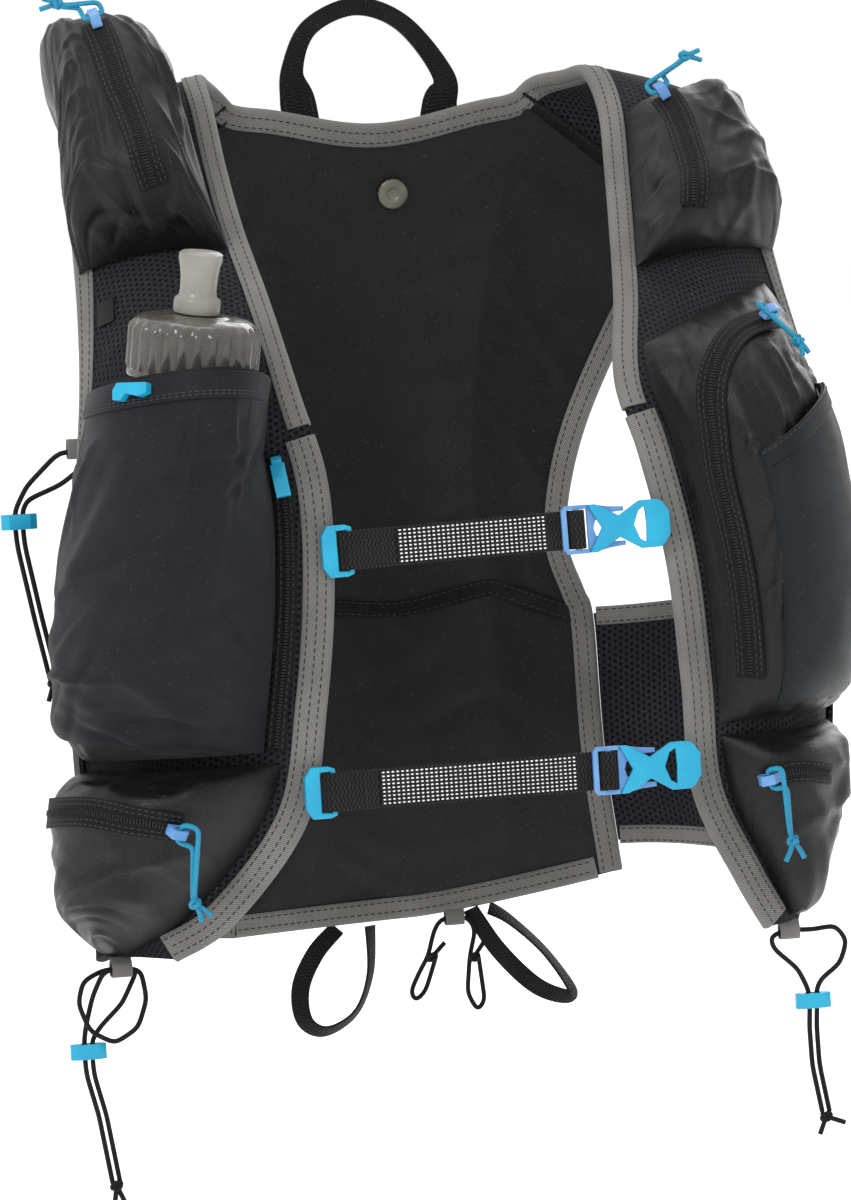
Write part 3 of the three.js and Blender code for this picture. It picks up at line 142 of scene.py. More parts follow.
def unit(vectors: Array) -> Array:
    """Vectors scaled to length one along their last axis."""
    return vectors / np.maximum(np.linalg.norm(vectors, axis=-1, keepdims=True), 1e-9)


def through(values: Array, index: Array) -> Array:
    """A smooth curve through rows of numbers: each piece is the cubic that has its neighbours' mean slope.

    Args:
        values: Rows that the curve passes.
        index: Fractional row numbers.

    Returns:
        One row for each index.
    """
    last = len(values) - 1
    index = np.asarray(index, float)
    start = np.clip(np.floor(index).astype(int), 0, last - 1)
    part = (index - start)[..., None]
    before, a, b, after = (values[np.clip(start + k, 0, last)] for k in (-1, 0, 1, 2))
    bend = 2 * before - 5 * a + 4 * b - after + part * (3 * (a - b) + after - before)
    return a + 0.5 * part * (b - before + part * bend)


class Surface:
    """A surface placed by how far down and how far across it a point lies."""

    sign = 1.0

    def at(self, down: Array, across: Array) -> Array:
        """The point at each pair of shares."""
        raise NotImplementedError

    def out(self, down: Array, across: Array) -> Array:
        """The outward normal, the cross product of the slopes down and across."""
        along = self.at(down + 0.02, across) - self.at(down - 0.02, across)
        over = self.at(down, across + 0.01) - self.at(down, across - 0.01)
        return unit(np.cross(along, over)) * self.sign

    def off(self, down: Array, across: Array, height: Array | float) -> Array:
        """The point at a height above the surface along its normal."""
        return self.at(down, across) + self.out(down, across) * np.asarray(height)[..., None]

    def rise(self, down: Array, across: Array) -> Array:
        """The way that a pouch sewn on here stands out."""
        return self.out(down, across)


class FrontCore(Surface):
    """The ruled surface between the inner and outer edge of a front panel, before its crown."""

    def __init__(self, sections: Array, side: float) -> None:
        """Keeps the edges in millimetres."""
        self.sign = side

        def points(columns: Array) -> Array:
            """Shares of the body's sizes as points."""
            reach = np.where(columns[:, 1] > 0, FRONT_REACH, BACK_REACH)
            return np.stack([side * columns[:, 0] * HALF_CHEST, -columns[:, 1] * reach,
                             -columns[:, 2] * DROP], -1)

        self.inner = points(sections[:, 0:3])
        self.outer = points(sections[:, 3:6])

    def at(self, down: Array, across: Array) -> Array:
        """A straight line from edge to edge, each end kept a tape's edge away."""
        down, across = np.broadcast_arrays(np.asarray(down, float), np.asarray(across, float))
        start, end = through(self.inner, down), through(self.outer, down)
        margin = TAPE_EDGE / np.linalg.norm(end - start, axis=-1)
        share = margin + (1 - 2 * margin) * across
        return start + (end - start) * share[..., None]


class FrontSurface(Surface):
    """The middle surface of a front panel: the core raised by a parabola across it."""

    def __init__(self, sections: Array, side: float) -> None:
        """Keeps the core and the crown heights."""
        self.sign = side
        self.core = FrontCore(sections, side)
        self.crown = sections[:, 6:7] * HALF_CHEST

    def at(self, down: Array, across: Array) -> Array:
        """The core point raised by four times crown times across times its complement."""
        down, across = np.broadcast_arrays(np.asarray(down, float), np.asarray(across, float))
        rise = 4 * through(self.crown, down)[..., 0] * across * (1 - across)
        return self.core.off(down, across, rise)

    def rise(self, down: Array, across: Array) -> Array:
        """The core's middle normal, turned a quarter toward the surface's own."""
        middle = self.core.out(down, np.full_like(np.asarray(across, float), 0.5))
        return unit(middle * 0.75 + self.out(down, across) * 0.25)


class BackSurface(Surface):
    """The middle surface of the back panel, down by section number and across from 0 to 1."""

    sign = -1.0

    def at(self, down: Array, across: Array) -> Array:
        """Width, depth and bend come from the sections, the top and hem from their own curves."""
        down, across = np.broadcast_arrays(np.asarray(down, float), np.asarray(across, float))
        row = through(BACK_SECTIONS, down)
        u = 2 * across - 1
        reach = np.abs(u)
        neck = 0.5 - 0.5 * np.cos(np.pi * np.minimum(reach, NECK_SHARE) / NECK_SHARE)
        yoke = np.maximum(0, (reach - NECK_SHARE) / (1 - NECK_SHARE))
        top = NECK_DIP * (neck - 1) - (0.026 + 0.153 * yoke) * DROP - YOKE_GAP
        hem_left = HEM_MIDDLE + (HEM_LEFT - HEM_MIDDLE) * reach
        hem_right = HEM_MIDDLE + (HEM_RIGHT - HEM_MIDDLE) * reach**1.3
        hem = -DROP * np.where(u < 0, hem_left, hem_right)
        return np.stack([
            u * (row[..., 1] * HALF_CHEST - TAPE_EDGE),
            BACK_REACH * (row[..., 2] - row[..., 3] * reach**1.5),
            top + (hem - top) * row[..., 0],
        ], -1)

    def rise(self, down: Array, across: Array) -> Array:
        """The normal taken over two whole sections, so that a pouch stands out evenly along the waist."""
        along = self.at(np.minimum(down + 1, 9), across) - self.at(np.maximum(down - 1, 0), across)
        over = self.at(down, across + 0.01) - self.at(down, across - 0.01)
        return unit(np.cross(along, over)) * self.sign


@dataclass(frozen=True)
class Span:
    """A value at the top of a pouch and at its foot."""

    top: float
    foot: float

    def mix(self, share: Array) -> Array:
        """The value at a share of the way down."""
        return self.top + (self.foot - self.top) * share


@dataclass
class Pouch(Surface):
    """A pouch over a patch of another surface, with its edges sewn down and its middle standing out."""

    base: Surface
    top: tuple[float, float]
    foot: tuple[float, float]
    inner: Span
    outer: Span
    bulge: Span
    over: float = 3.0
    head: float = 3.0
    end: float = 3.0
    ease: float = 0.5
    seat: float = TAPE_TOP + 1.8 * GAP
    forward: Span = field(default_factory=lambda: Span(0, 0))
    turn: float = 1.0
    is_open: bool = False

    def __post_init__(self) -> None:
        """Takes the side from the surface that the pouch is sewn on."""
        self.sign = self.base.sign

    def spot(self, down: Array, across: Array) -> tuple[Array, Array]:
        """Where a share of the pouch lies on the surface below."""
        upper = self.top[0] + (self.top[1] - self.top[0]) * across
        lower = self.foot[0] + (self.foot[1] - self.foot[0]) * across
        row = upper + (lower - upper) * down
        width = np.linalg.norm(self.base.at(row, across * 0 + 1) - self.base.at(row, across * 0), axis=-1)
        start = self.inner.mix(np.minimum(1, down / self.turn)) / width
        end = 1 - self.outer.mix(down) / width
        return row, start + (end - start) * across

    def swell(self, down: Array, across: Array) -> Array:
        """From 0 at the sewn edges to 1, a flat-topped arch both ways."""
        over = np.clip(np.abs(2 * across - 1), 0, 1) ** self.over
        reach = np.clip(down, 0, 1) if self.is_open else np.clip(np.abs(2 * down - 1), 0, 1)
        power = np.where(down > 0.5, self.end, self.end if self.is_open else self.head)
        return (1 - over) ** np.where(across < 0.5, self.ease, 0.5) * np.sqrt(np.maximum(0, 1 - reach**power))

    def at(self, down: Array, across: Array) -> Array:
        """The patch lifted by bulge times swell along the way that the pouch stands."""
        down, across = np.broadcast_arrays(np.asarray(down, float), np.asarray(across, float))
        row, share = self.spot(down, across)
        height = self.bulge.mix(down) * self.swell(down, across)
        forward = self.forward.mix(down)[..., None]
        stand = unit(self.base.rise(row, share) * (1 - forward) + np.array([0.0, -1.0, 0.0]) * forward)
        return self.base.off(row, share, self.seat) + stand * height[..., None]


LEFT = FrontSurface(LEFT_SECTIONS, -1.0)
RIGHT = FrontSurface(RIGHT_SECTIONS, 1.0)
BACK = BackSurface()

FLASK_POCKET = Pouch(LEFT, (8, 8.1), (11.4, 11.5), Span(BY_BINDING, BY_FINE_ZIP), Span(9, 4), Span(58, 46),
                     over=3.4,
                     end=6, forward=Span(0.65, 0.1), turn=0.22, is_open=True)
LOWER_POCKET_LEFT = Pouch(LEFT, (11.5, 11.6), (13.9, 13.9), Span(BY_RAIL + 1, BY_RAIL + 10), Span(0, -1),
                          Span(44, 36),
                          head=8, end=2.4, ease=0.8, seat=ON_CLOTH)
CHEST_POCKET = Pouch(RIGHT, (7.7, 7), (11.4, 11.4), Span(BY_RAIL, BY_RAIL), Span(14, 12), Span(34, 34),
                     over=2.6,
                     head=2.4, end=6, ease=1, forward=Span(0.75, 0.75), seat=ON_CLOTH)
STRETCH_POCKET = Pouch(CHEST_POCKET, (0.42, 0.3), (0.96, 0.96), Span(22, 18), Span(12, 12), Span(5, 5),
                       seat=GAP,
                       is_open=True)
LOWER_POCKET_RIGHT = Pouch(RIGHT, (11.5, 11.55), (13.8, 13.8), Span(BY_RAIL + 0.6, BY_RAIL + 4), Span(8, 0),
                           Span(28, 22), head=8, end=2.2, ease=0.9, forward=Span(0.75, 0.75), seat=ON_CLOTH)
SHOULDER_POCKET_LEFT = Pouch(LEFT, (3.5, 2.5), (6.4, 6.3), Span(BY_BINDING + 5, BY_BINDING), Span(-3, 3),
                             Span(48, 40), over=4, head=5, end=5)
SHOULDER_POCKET_RIGHT = Pouch(RIGHT, (4.2, 3.9), (6.7, 6.4), Span(BY_BINDING, BY_BINDING), Span(6, 3),
                              Span(26, 30),
                              over=4, head=4, end=4, ease=0.8)
BACK_POCKET = Pouch(BACK, (1.7, 1.65), (8.75, 8.75), Span(BY_BINDING, BY_BINDING),
                    Span(BY_BINDING, BY_BINDING),
                    Span(27, 31))


@dataclass(frozen=True)
class Frames:
    """Places along a path with the way along it, outward and to the side, one row each."""

    at: Array
    along: Array
    out: Array
    side: Array


def frames_on(surfaces: list[Surface], downs: Array, acrosses: Array, lift: float, facing: Array) -> Frames:
    """Frames at spots on surfaces: along is the way to the next spot, out the normal made square to it.

    Args:
        surfaces: The surface of each spot.
        downs: How far down each spot lies.
        acrosses: How far across each spot lies.
        lift: Height above the surface.
        facing: How far across the normal is taken.

    Returns:
        The frames.
    """
    at = np.array([s.off(d, a, lift) for s, d, a in zip(surfaces, downs, acrosses)])
    out = np.array([s.out(d, f) for s, d, f in zip(surfaces, downs, facing)])
    along = unit(np.gradient(at, axis=0))
    out = unit(out - along * np.sum(out * along, -1, keepdims=True))
    return Frames(at, along, out, np.cross(out, along))


def frames_by(at: Array, out: Array) -> Frames:
    """Frames along points with a wished outward way that is made square to the path.

    Args:
        at: The points.
        out: The wished outward way, one for all or one each.

    Returns:
        The frames.
    """
    along = unit(np.gradient(at, axis=0))
    out = np.broadcast_to(out, at.shape)
    out = unit(out - along * np.sum(out * along, -1, keepdims=True))
    return Frames(at, along, out, np.cross(out, along))


def smooth_path(points: Array, count: int) -> Array:
    """Even steps along the smooth curve through points.

    Args:
        points: Points that the curve passes.
        count: Points wanted.

    Returns:
        The new points.
    """
    fine = through(np.asarray(points, float), np.linspace(0, len(points) - 1, 12 * len(points)))
    run = np.concatenate([[0], np.cumsum(np.linalg.norm(np.diff(fine, axis=0), axis=1))])
    want = np.linspace(0, run[-1], count)
    return np.stack([np.interp(want, run, fine[:, k]) for k in range(3)], -1)


def ridges(u: Array, v: Array, seed: int, count: int, size: tuple[float, float], reach: tuple[float, float],
           lean: float, spread: float) -> Array:
    """Soft creases: each is a narrow bell across a short line that fades at its ends.

    Args:
        u: Millimetres across.
        v: Millimetres down.
        seed: Start of the random draws.
        count: Number of creases.
        size: Least and most half width of a crease.
        reach: Least and most half length.
        lean: Mean direction in radians, 0 being across.
        spread: How far directions stray.

    Returns:
        A height from about -1 to 1.
    """
    rng = np.random.default_rng(seed)
    total = np.zeros_like(u)
    for _ in range(count):
        cu = rng.uniform(u.min(), u.max())
        cv = rng.uniform(v.min(), v.max())
        angle = lean + rng.normal(0, spread)
        width = rng.uniform(*size)
        length = rng.uniform(*reach)
        tall = rng.uniform(0.4, 1) * rng.choice([-0.6, 1])
        along = (u - cu) * np.cos(angle) + (v - cv) * np.sin(angle)
        side = -(u - cu) * np.sin(angle) + (v - cv) * np.cos(angle) + 0.06 * along * np.sin(along / length)
        total += tall * np.exp(-(side / width) ** 2 - (along / length) ** 2)
    return total


class Made:
    """One mesh in the making: closed parts are added to it, each turned so that its faces point out."""

    def __init__(self) -> None:
        """Starts with no parts."""
        self.points: list[Array] = []
        self.faces: list[NDArray[np.int64]] = []
        self.uvs: list[Array] = []
        self.count = 0

    def add(self, points: Array, faces: list[NDArray[np.int64]], uvs: list[Array]) -> None:
        """Adds a closed part. Its signed volume, summed over fans of triangles, says which way it faces.

        Args:
            points: Corners in millimetres, one row each.
            faces: Arrays of corner numbers, one array for each count of sides.
            uvs: For each array of faces, the metres across and along at each face corner.
        """
        volume = 0.0
        for block in faces:
            for k in range(1, block.shape[1] - 1):
                a, b, c = points[block[:, 0]], points[block[:, k]], points[block[:, k + 1]]
                volume += float(np.sum(a * np.cross(b, c)))
        turn = 1 if volume > 0 else -1
        self.points.append(points)
        self.faces.extend(block[:, ::turn] + self.count for block in faces)
        self.uvs.extend(uv[:, ::turn] for uv in uvs)
        self.count += len(points)

    def shell(self, outer: Array, inner: Array, uv: Array) -> None:
        """A closed wall between two grids of points of one size, joined round their edges.

        Args:
            outer: Points of one face, shape (rows, columns, 3).
            inner: Points of the other face.
            uv: Metres across and down at each point.
        """
        rows, columns = outer.shape[:2]
        total = rows * columns
        at = np.arange(total).reshape(rows, columns)
        over = np.stack([at[:-1, :-1], at[:-1, 1:], at[1:, 1:], at[1:, :-1]], -1).reshape(-1, 4)
        ring = np.concatenate([at[0, :-1], at[:-1, -1], at[-1, :0:-1], at[:0:-1, 0]])
        after = np.roll(ring, -1)
        rim = np.stack([after, ring, ring + total, after + total], -1)
        quads = np.concatenate([over, over[:, ::-1] + total, rim])
        flat = np.concatenate([uv.reshape(-1, 2)] * 2)
        self.add(np.concatenate([outer.reshape(-1, 3), inner.reshape(-1, 3)]), [quads], [flat[quads]])

    def swept(self, sections: Array, run: Array | None = None) -> None:
        """A closed body through sections, each a ring of points, with flat ends.

        Args:
            sections: Rings of points, shape (sections, points, 3).
            run: Millimetres along at each section, where it isn't the distance between ring middles.
        """
        rows, count = sections.shape[:2]
        if run is None:
            middle = sections.mean(1)
            run = np.concatenate([[0], np.cumsum(np.linalg.norm(np.diff(middle, axis=0), axis=1))])
        edge = np.linalg.norm(np.roll(sections, -1, 1) - sections, axis=-1).mean(0)
        round_it = np.concatenate([[0], np.cumsum(edge)])
        at = np.arange(rows * count).reshape(rows, count)
        after = np.roll(at, -1, 1)
        quads = np.stack([at[:-1], after[:-1], after[1:], at[1:]], -1).reshape(-1, 4)
        left, right = np.broadcast_to(round_it[:-1], (rows - 1, count)), np.broadcast_to(round_it[1:],
                                                                                         (rows - 1, count))
        low = np.broadcast_to(run[:-1, None], (rows - 1, count))
        high = np.broadcast_to(run[1:, None], (rows - 1, count))
        corner = np.stack([np.stack([left, low], -1), np.stack([right, low], -1), np.stack([right, high], -1),
                           np.stack([left, high], -1)], 2).reshape(-1, 4, 2)
        caps = np.stack([at[0, ::-1], at[-1]])
        cap_uv = np.stack([np.stack([round_it[:-1], np.zeros(count)], -1)] * 2)
        self.add(sections.reshape(-1, 3), [quads, caps], [corner * MM, cap_uv * MM])

    def scattered(self, form: Array, quads: NDArray[np.int64], frames: Frames) -> None:
        """The same small closed form at every frame: x to the side, y outward, z along.

        Args:
            form: Corners of the form in millimetres.
            quads: Its faces as corner numbers.
            frames: Where it goes.
        """
        if len(frames.at) == 0:
            return
        placed = (frames.at[:, None] + form[None, :, :1] * frames.side[:, None]
                  + form[None, :, 1:2] * frames.out[:, None] + form[None, :, 2:] * frames.along[:, None])
        steps = np.arange(len(frames.at))[:, None, None] * len(form)
        block = (quads[None] + steps).reshape(-1, quads.shape[1])
        uv = np.tile(form[quads][..., [0, 2]] * MM, (len(frames.at), 1, 1))
        self.add(placed.reshape(-1, 3), [block], [uv])

    def build(self, name: str, finish: bpy.types.Material, sharp: float = 40) -> bpy.types.Object:
        """Puts the parts into a Blender mesh in metres, smooth but for edges sharper than an angle.

        Args:
            name: Name of the piece.
            finish: Its material.
            sharp: The angle in degrees.

        Returns:
            The piece.
        """
        mesh = bpy.data.meshes.new(name)
        faces = [row for block in self.faces for row in block.tolist()]
        mesh.from_pydata((np.concatenate(self.points) * MM).tolist(), [], faces)
        layer = mesh.uv_layers.new(name="UVMap")
        layer.data.foreach_set("uv", np.concatenate([uv.reshape(-1, 2) for uv in self.uvs]).ravel())
        mesh.materials.append(finish)
        mesh.shade_smooth()
        mesh.set_sharp_from_angle(angle=np.radians(sharp))
        made = bpy.data.objects.new(name, mesh)
        bpy.context.scene.collection.objects.link(made)
        return made


def grid_normals(points: Array, sign: float) -> Array:
    """Normals of a grid: the cross product of its slopes down and across."""
    return unit(np.cross(np.gradient(points, axis=0), np.gradient(points, axis=1))) * sign


def rounded(width: float, height: float, corner: float, steps: int = 3) -> Array:
    """A rectangle's outline with round corners, widest along the first axis.

    Args:
        width: Size along the first axis.
        height: Size along the second axis.
        corner: Radius of the corners.
        steps: Points on a corner, less one.

    Returns:
        The outline.
    """
    angles = np.linspace(0, np.pi / 2, steps + 1)
    w, h = width / 2 - corner, height / 2 - corner
    middles = [(w, h), (-w, h), (-w, -h), (w, -h)]
    return np.concatenate([
        np.stack([x + corner * np.cos(angles + k * np.pi / 2), y + corner * np.sin(angles + k * np.pi / 2)],
                 -1)
        for k, (x, y) in enumerate(middles)
    ])


def fold(reach: float, wall: float = 1.05, slot: float = PADDING / 2 + 0.12) -> Array:
    """The section of a tape folded round a cloth edge at x = 0: two leaves and a half round bend.

    Args:
        reach: How far the leaves reach over the cloth.
        wall: Thickness of the tape.
        slot: Height of the inner faces over the middle of the cloth.

    Returns:
        The outline.
    """
    top = slot + wall
    bend = np.linspace(np.pi / 2, 3 * np.pi / 2, 9)
    outer = np.stack([1.1 + 2.6 * np.cos(bend), top * np.sin(bend)], -1)
    inner = np.stack([0.9 + 1.3 * np.cos(bend[::-1]), slot * np.sin(bend[::-1])], -1)
    tip = [[reach, slot + 0.1], [reach + 0.25, slot + wall / 2], [reach, top - 0.1]]
    low = [[reach, -top + 0.1], [reach + 0.25, -slot - wall / 2], [reach, -slot - 0.1]]
    spread = np.linspace(0.75, 0.25, 3)[:, None] * reach
    upper = np.concatenate([spread, np.full((3, 1), top)], 1)
    return np.concatenate([[tip[2]], upper, outer, upper[::-1] * [1, -1], low, inner, tip[:2]])


def carry(frames: Frames, outline: Array, wide: Array | float = 1.0, thick: Array | float = 1.0,
          turn: float = 1.0) -> Array:
    """An outline carried along frames, its first axis to the side and its second outward.

    Args:
        frames: Where the outline goes.
        outline: Its points.
        wide: Scale to the side, one for all or one each.
        thick: Scale outward, one for all or one each.
        turn: -1 to mirror it to the side.

    Returns:
        Rings of points, one for each frame.
    """
    wide = np.broadcast_to(np.asarray(wide, float), (len(frames.at),))[:, None, None]
    thick = np.broadcast_to(np.asarray(thick, float), (len(frames.at),))[:, None, None]
    return (frames.at[:, None] + turn * wide * outline[None, :, :1] * frames.side[:, None]
            + thick * outline[None, :, 1:] * frames.out[:, None])


def tube(points: Array, radius: Array | float, sides: int = 12) -> Array:
    """Rings of a round cord: each is square to the path, and frames turn as little as they can.

    Args:
        points: The path.
        radius: One for all or one each.
        sides: Points on a ring.

    Returns:
        The rings.
    """
    along = unit(np.gradient(points, axis=0))
    side = np.zeros_like(points)
    start = np.array([0.0, 0.0, 1.0]) if abs(along[0, 2]) < 0.9 else np.array([1.0, 0.0, 0.0])
    side[0] = unit(np.cross(along[0], start))
    for k in range(1, len(points)):
        side[k] = unit(side[k - 1] - along[k] * np.dot(side[k - 1], along[k]))
    other = np.cross(along, side)
    angle = np.linspace(0, 2 * np.pi, sides, endpoint=False)
    ring = np.cos(angle)[None, :, None] * side[:, None] + np.sin(angle)[None, :, None] * other[:, None]
    return points[:, None] + ring * np.broadcast_to(np.asarray(radius, float), (len(points),))[:, None, None]


def bead(size: tuple[float, float, float], sides: int = 6) -> tuple[Array, NDArray[np.int64]]:
    """A long round bead: rings at five heights with radii from a half circle, its ends closed small.

    Args:
        size: Width, height and length in millimetres.
        sides: Points on a ring.

    Returns:
        Corners and faces.
    """
    heights = np.array([-1, -0.8, 0, 0.8, 1.0])
    radii = np.array([0.25, 0.75, 1, 0.75, 0.25])
    angle = np.linspace(0, 2 * np.pi, sides, endpoint=False)
    rings = np.stack([
        radii[:, None] * np.cos(angle) * size[0] / 2, radii[:, None] * np.sin(angle) * size[1] / 2,
        np.broadcast_to(heights[:, None] * size[2] / 2, (5, sides)),
    ], -1)
    at = np.arange(5 * sides).reshape(5, sides)
    after = np.roll(at, -1, 1)
    quads = np.stack([at[:-1], after[:-1], after[1:], at[1:]], -1).reshape(-1, 4)
    ends = [np.stack([row[a], row[b], row[c], row[d]]) for row in (at[0][::-1], at[-1])
            for a, b, c, d in ((0, 1, 2, 3), (0, 3, 4, 5))] if sides == 6 else []
    return rings.reshape(-1, 3), np.concatenate([quads, np.array(ends, int).reshape(-1, 4)])


def spaced(frames: Frames, pitch: float, inset: float = 1.5) -> Frames:
    """Frames at an even pitch along a path of frames.

    Args:
        frames: The path.
        pitch: Millimetres from one to the next.
        inset: Millimetres kept free at both ends.

    Returns:
        The new frames.
    """
    run = np.concatenate([[0], np.cumsum(np.linalg.norm(np.diff(frames.at, axis=0), axis=1))])
    want = np.arange(inset, run[-1] - inset, pitch)

    def at(values: Array) -> Array:
        """Values at the wanted distances."""
        return np.stack([np.interp(want, run, values[:, k]) for k in range(3)], -1)

    along, out = unit(at(frames.along)), at(frames.out)
    out = unit(out - along * np.sum(out * along, -1, keepdims=True))
    return Frames(at(frames.at), along, out, np.cross(out, along))


def shifted(frames: Frames, side: Array | float, out: Array | float) -> Frames:
    """The same frames moved to the side and outward."""
    move = np.broadcast_to(np.asarray(side, float), (len(frames.at),))[:, None] * frames.side
    move = move + np.broadcast_to(np.asarray(out, float), (len(frames.at),))[:, None] * frames.out
    return Frames(frames.at + move, frames.along, frames.out, frames.side)


class Weave(Enum):
    """How threads or holes are laid, as a height over the metres across and along."""

    PLAIN = "plain"
    TWILL = "twill"
    MESH = "mesh"
    RIB = "rib"
    BRAID = "braid"
    RIPSTOP = "ripstop"


Socket = bpy.types.NodeSocket


class Shader:
    """A node material in the making, with short calls for the nodes that the finishes share."""

    def __init__(self, name: str) -> None:
        """Starts a material with a Principled shader."""
        self.material = bpy.data.materials.new(name)
        self.material.use_nodes = True
        self.tree = self.material.node_tree
        self.main = self.tree.nodes["Principled BSDF"]

    def node(self, kind: str, **inputs: object) -> bpy.types.Node:
        """A node of a kind, with named inputs set or linked."""
        made = self.tree.nodes.new(kind)
        for key, value in inputs.items():
            self.feed(made.inputs[key.replace("_", " ")], value)
        return made

    def feed(self, socket: Socket, value: object) -> None:
        """Links a socket, or sets a constant on it."""
        if isinstance(value, bpy.types.NodeSocket):
            self.tree.links.new(value, socket)
        else:
            socket.default_value = value

    def math(self, operation: str, *values: Socket | float) -> Socket:
        """A Math node's result."""
        made = self.tree.nodes.new("ShaderNodeMath")
        made.operation = operation
        for socket, value in zip(made.inputs, values):
            self.feed(socket, value)
        return made.outputs[0]

    def ramp(self, value: Socket, low: float, high: float, start: float = 0, end: float = 1) -> Socket:
        """A value brought smoothly from one range to another.

        Args:
            value: The value.
            low: Start of its range.
            high: End of its range.
            start: Result at the start.
            end: Result at the end.

        Returns:
            The result.
        """
        made = self.node("ShaderNodeMapRange", Value=value)
        made.interpolation_type = "SMOOTHSTEP"
        for key, number in zip(("From Min", "From Max", "To Min", "To Max"), (low, high, start, end)):
            made.inputs[key].default_value = number
        return made.outputs[0]

    def mixed(self, share: Socket | float, one: object, other: object) -> Socket:
        """A colour between two others."""
        made = self.tree.nodes.new("ShaderNodeMix")
        made.data_type = "RGBA"
        self.feed(made.inputs[0], share)
        self.feed(made.inputs[6], one)
        self.feed(made.inputs[7], other)
        return made.outputs[2]

    def noise(self, scale: float, detail: float = 4) -> Socket:
        """Noise on Object coordinates, its scale per metre."""
        place = self.tree.nodes.new("ShaderNodeTexCoord").outputs["Object"]
        return self.node("ShaderNodeTexNoise", Vector=place, Scale=scale, Detail=detail).outputs["Fac"]

    def flat(self) -> tuple[Socket, Socket]:
        """The metres across and along from the piece's own map."""
        layer = self.tree.nodes.new("ShaderNodeUVMap")
        layer.uv_map = "UVMap"
        parts = self.node("ShaderNodeSeparateXYZ", Vector=layer.outputs[0])
        return parts.outputs[0], parts.outputs[1]

    def weave(self, kind: Weave, pitch: float) -> Socket:
        """The height of a weave from 0 to 1, from sines of the metres across and along.

        Args:
            kind: The weave.
            pitch: Metres from one thread or hole to the next.

        Returns:
            The height.
        """
        across, along = self.flat()
        turn = 2 * np.pi / pitch
        u, v = self.math("MULTIPLY", across, turn), self.math("MULTIPLY", along, turn)
        half_v = self.math("MULTIPLY", v, 0.866)
        half_u = self.math("MULTIPLY", u, 0.5)
        if kind is Weave.MESH:
            waves = [self.math("COSINE", u), self.math("COSINE", self.math("ADD", half_u, half_v)),
                     self.math("COSINE", self.math("SUBTRACT", half_u, half_v))]
            total = self.math("ADD", self.math("ADD", waves[0], waves[1]), waves[2])
            return self.ramp(total, 0.2, 1.3, 1, 0)
        if kind is Weave.TWILL:
            wave = self.math("SINE", self.math("ADD", u, v))
        elif kind is Weave.BRAID:
            wave = self.math("MULTIPLY", self.math("SINE", self.math("ADD", u, half_v)),
                             self.math("SINE", self.math("SUBTRACT", u, half_v)))
        elif kind is Weave.RIB:
            lean = self.math("MULTIPLY", self.math("SINE", half_u), 1.6)
            wave = self.math("SINE", self.math("ADD", v, lean))
        else:
            wave = self.math("MULTIPLY", self.math("SINE", u), self.math("SINE", v))
        height = self.math("MULTIPLY_ADD", wave, 0.5, 0.5)
        if kind is Weave.RIPSTOP:
            grid = self.math("MAXIMUM", self.math("COSINE", self.math("MULTIPLY", u, 0.1)),
                             self.math("COSINE", self.math("MULTIPLY", v, 0.1)))
            height = self.math("MAXIMUM", self.math("MULTIPLY", height, 0.6), self.ramp(grid, 0.93, 0.99))
        return height

    def bump(self, height: Socket, depth: float, strength: float = 0.7) -> None:
        """Presses a height into the surface, its depth in metres."""
        made = self.node("ShaderNodeBump", Strength=strength, Distance=depth, Height=height)
        self.feed(self.main.inputs["Normal"], made.outputs[0])


def tone(code: str, gain: float = 1.0) -> tuple[float, float, float, float]:
    """A colour written as screen hex, in linear light."""
    parts = np.array([int(code[k:k + 2], 16) / 255 for k in (0, 2, 4)])
    linear = np.where(parts > 0.04045, ((parts + 0.055) / 1.055) ** 2.4, parts / 12.92) * gain
    return (*(float(v) for v in linear), 1.0)


@dataclass(frozen=True)
class ClothFinish:
    """A woven or knitted finish: thread colour, the colour between threads, weave, sheen and wear."""

    name: str
    thread: str
    gap: str
    weave: Weave
    pitch: float
    rough: float = 0.8
    sheen: float = 0.2
    depth: float = 0.00025
    coat: float = 0.0
    crinkle: float = 0.0
    specular: float = 0.4

    def make(self) -> bpy.types.Material:
        """The threads over the gaps, faded and scuffed by noise, with the weave pressed in."""
        shader = Shader(self.name)
        height = shader.weave(self.weave, self.pitch)
        fade = shader.noise(28)
        faded = shader.mixed(shader.ramp(fade, 0.3, 0.75, 0, 1), tone(self.thread, 0.82),
                             tone(self.thread, 1.22))
        lint = shader.noise(900, 2)
        dusty = shader.mixed(shader.ramp(lint, 0.62, 0.8, 0, 0.12), faded, tone("b9b9bb"))
        shader.feed(shader.main.inputs["Base Color"], shader.mixed(height, tone(self.gap), dusty))
        scuff = shader.ramp(shader.noise(60), 0.25, 0.8, self.rough - 0.09, self.rough + 0.09)
        shader.feed(shader.main.inputs["Roughness"], scuff)
        shader.main.inputs["Sheen Weight"].default_value = self.sheen
        shader.main.inputs["Sheen Roughness"].default_value = 0.45
        shader.main.inputs["Specular IOR Level"].default_value = self.specular
        shader.main.inputs["Coat Weight"].default_value = self.coat
        shader.main.inputs["Coat Roughness"].default_value = 0.35
        if self.crinkle:
            crease = shader.math("MULTIPLY", shader.noise(150, 3), self.crinkle)
            height = shader.math("ADD", height, crease)
        shader.bump(height, self.depth)
        return shader.material


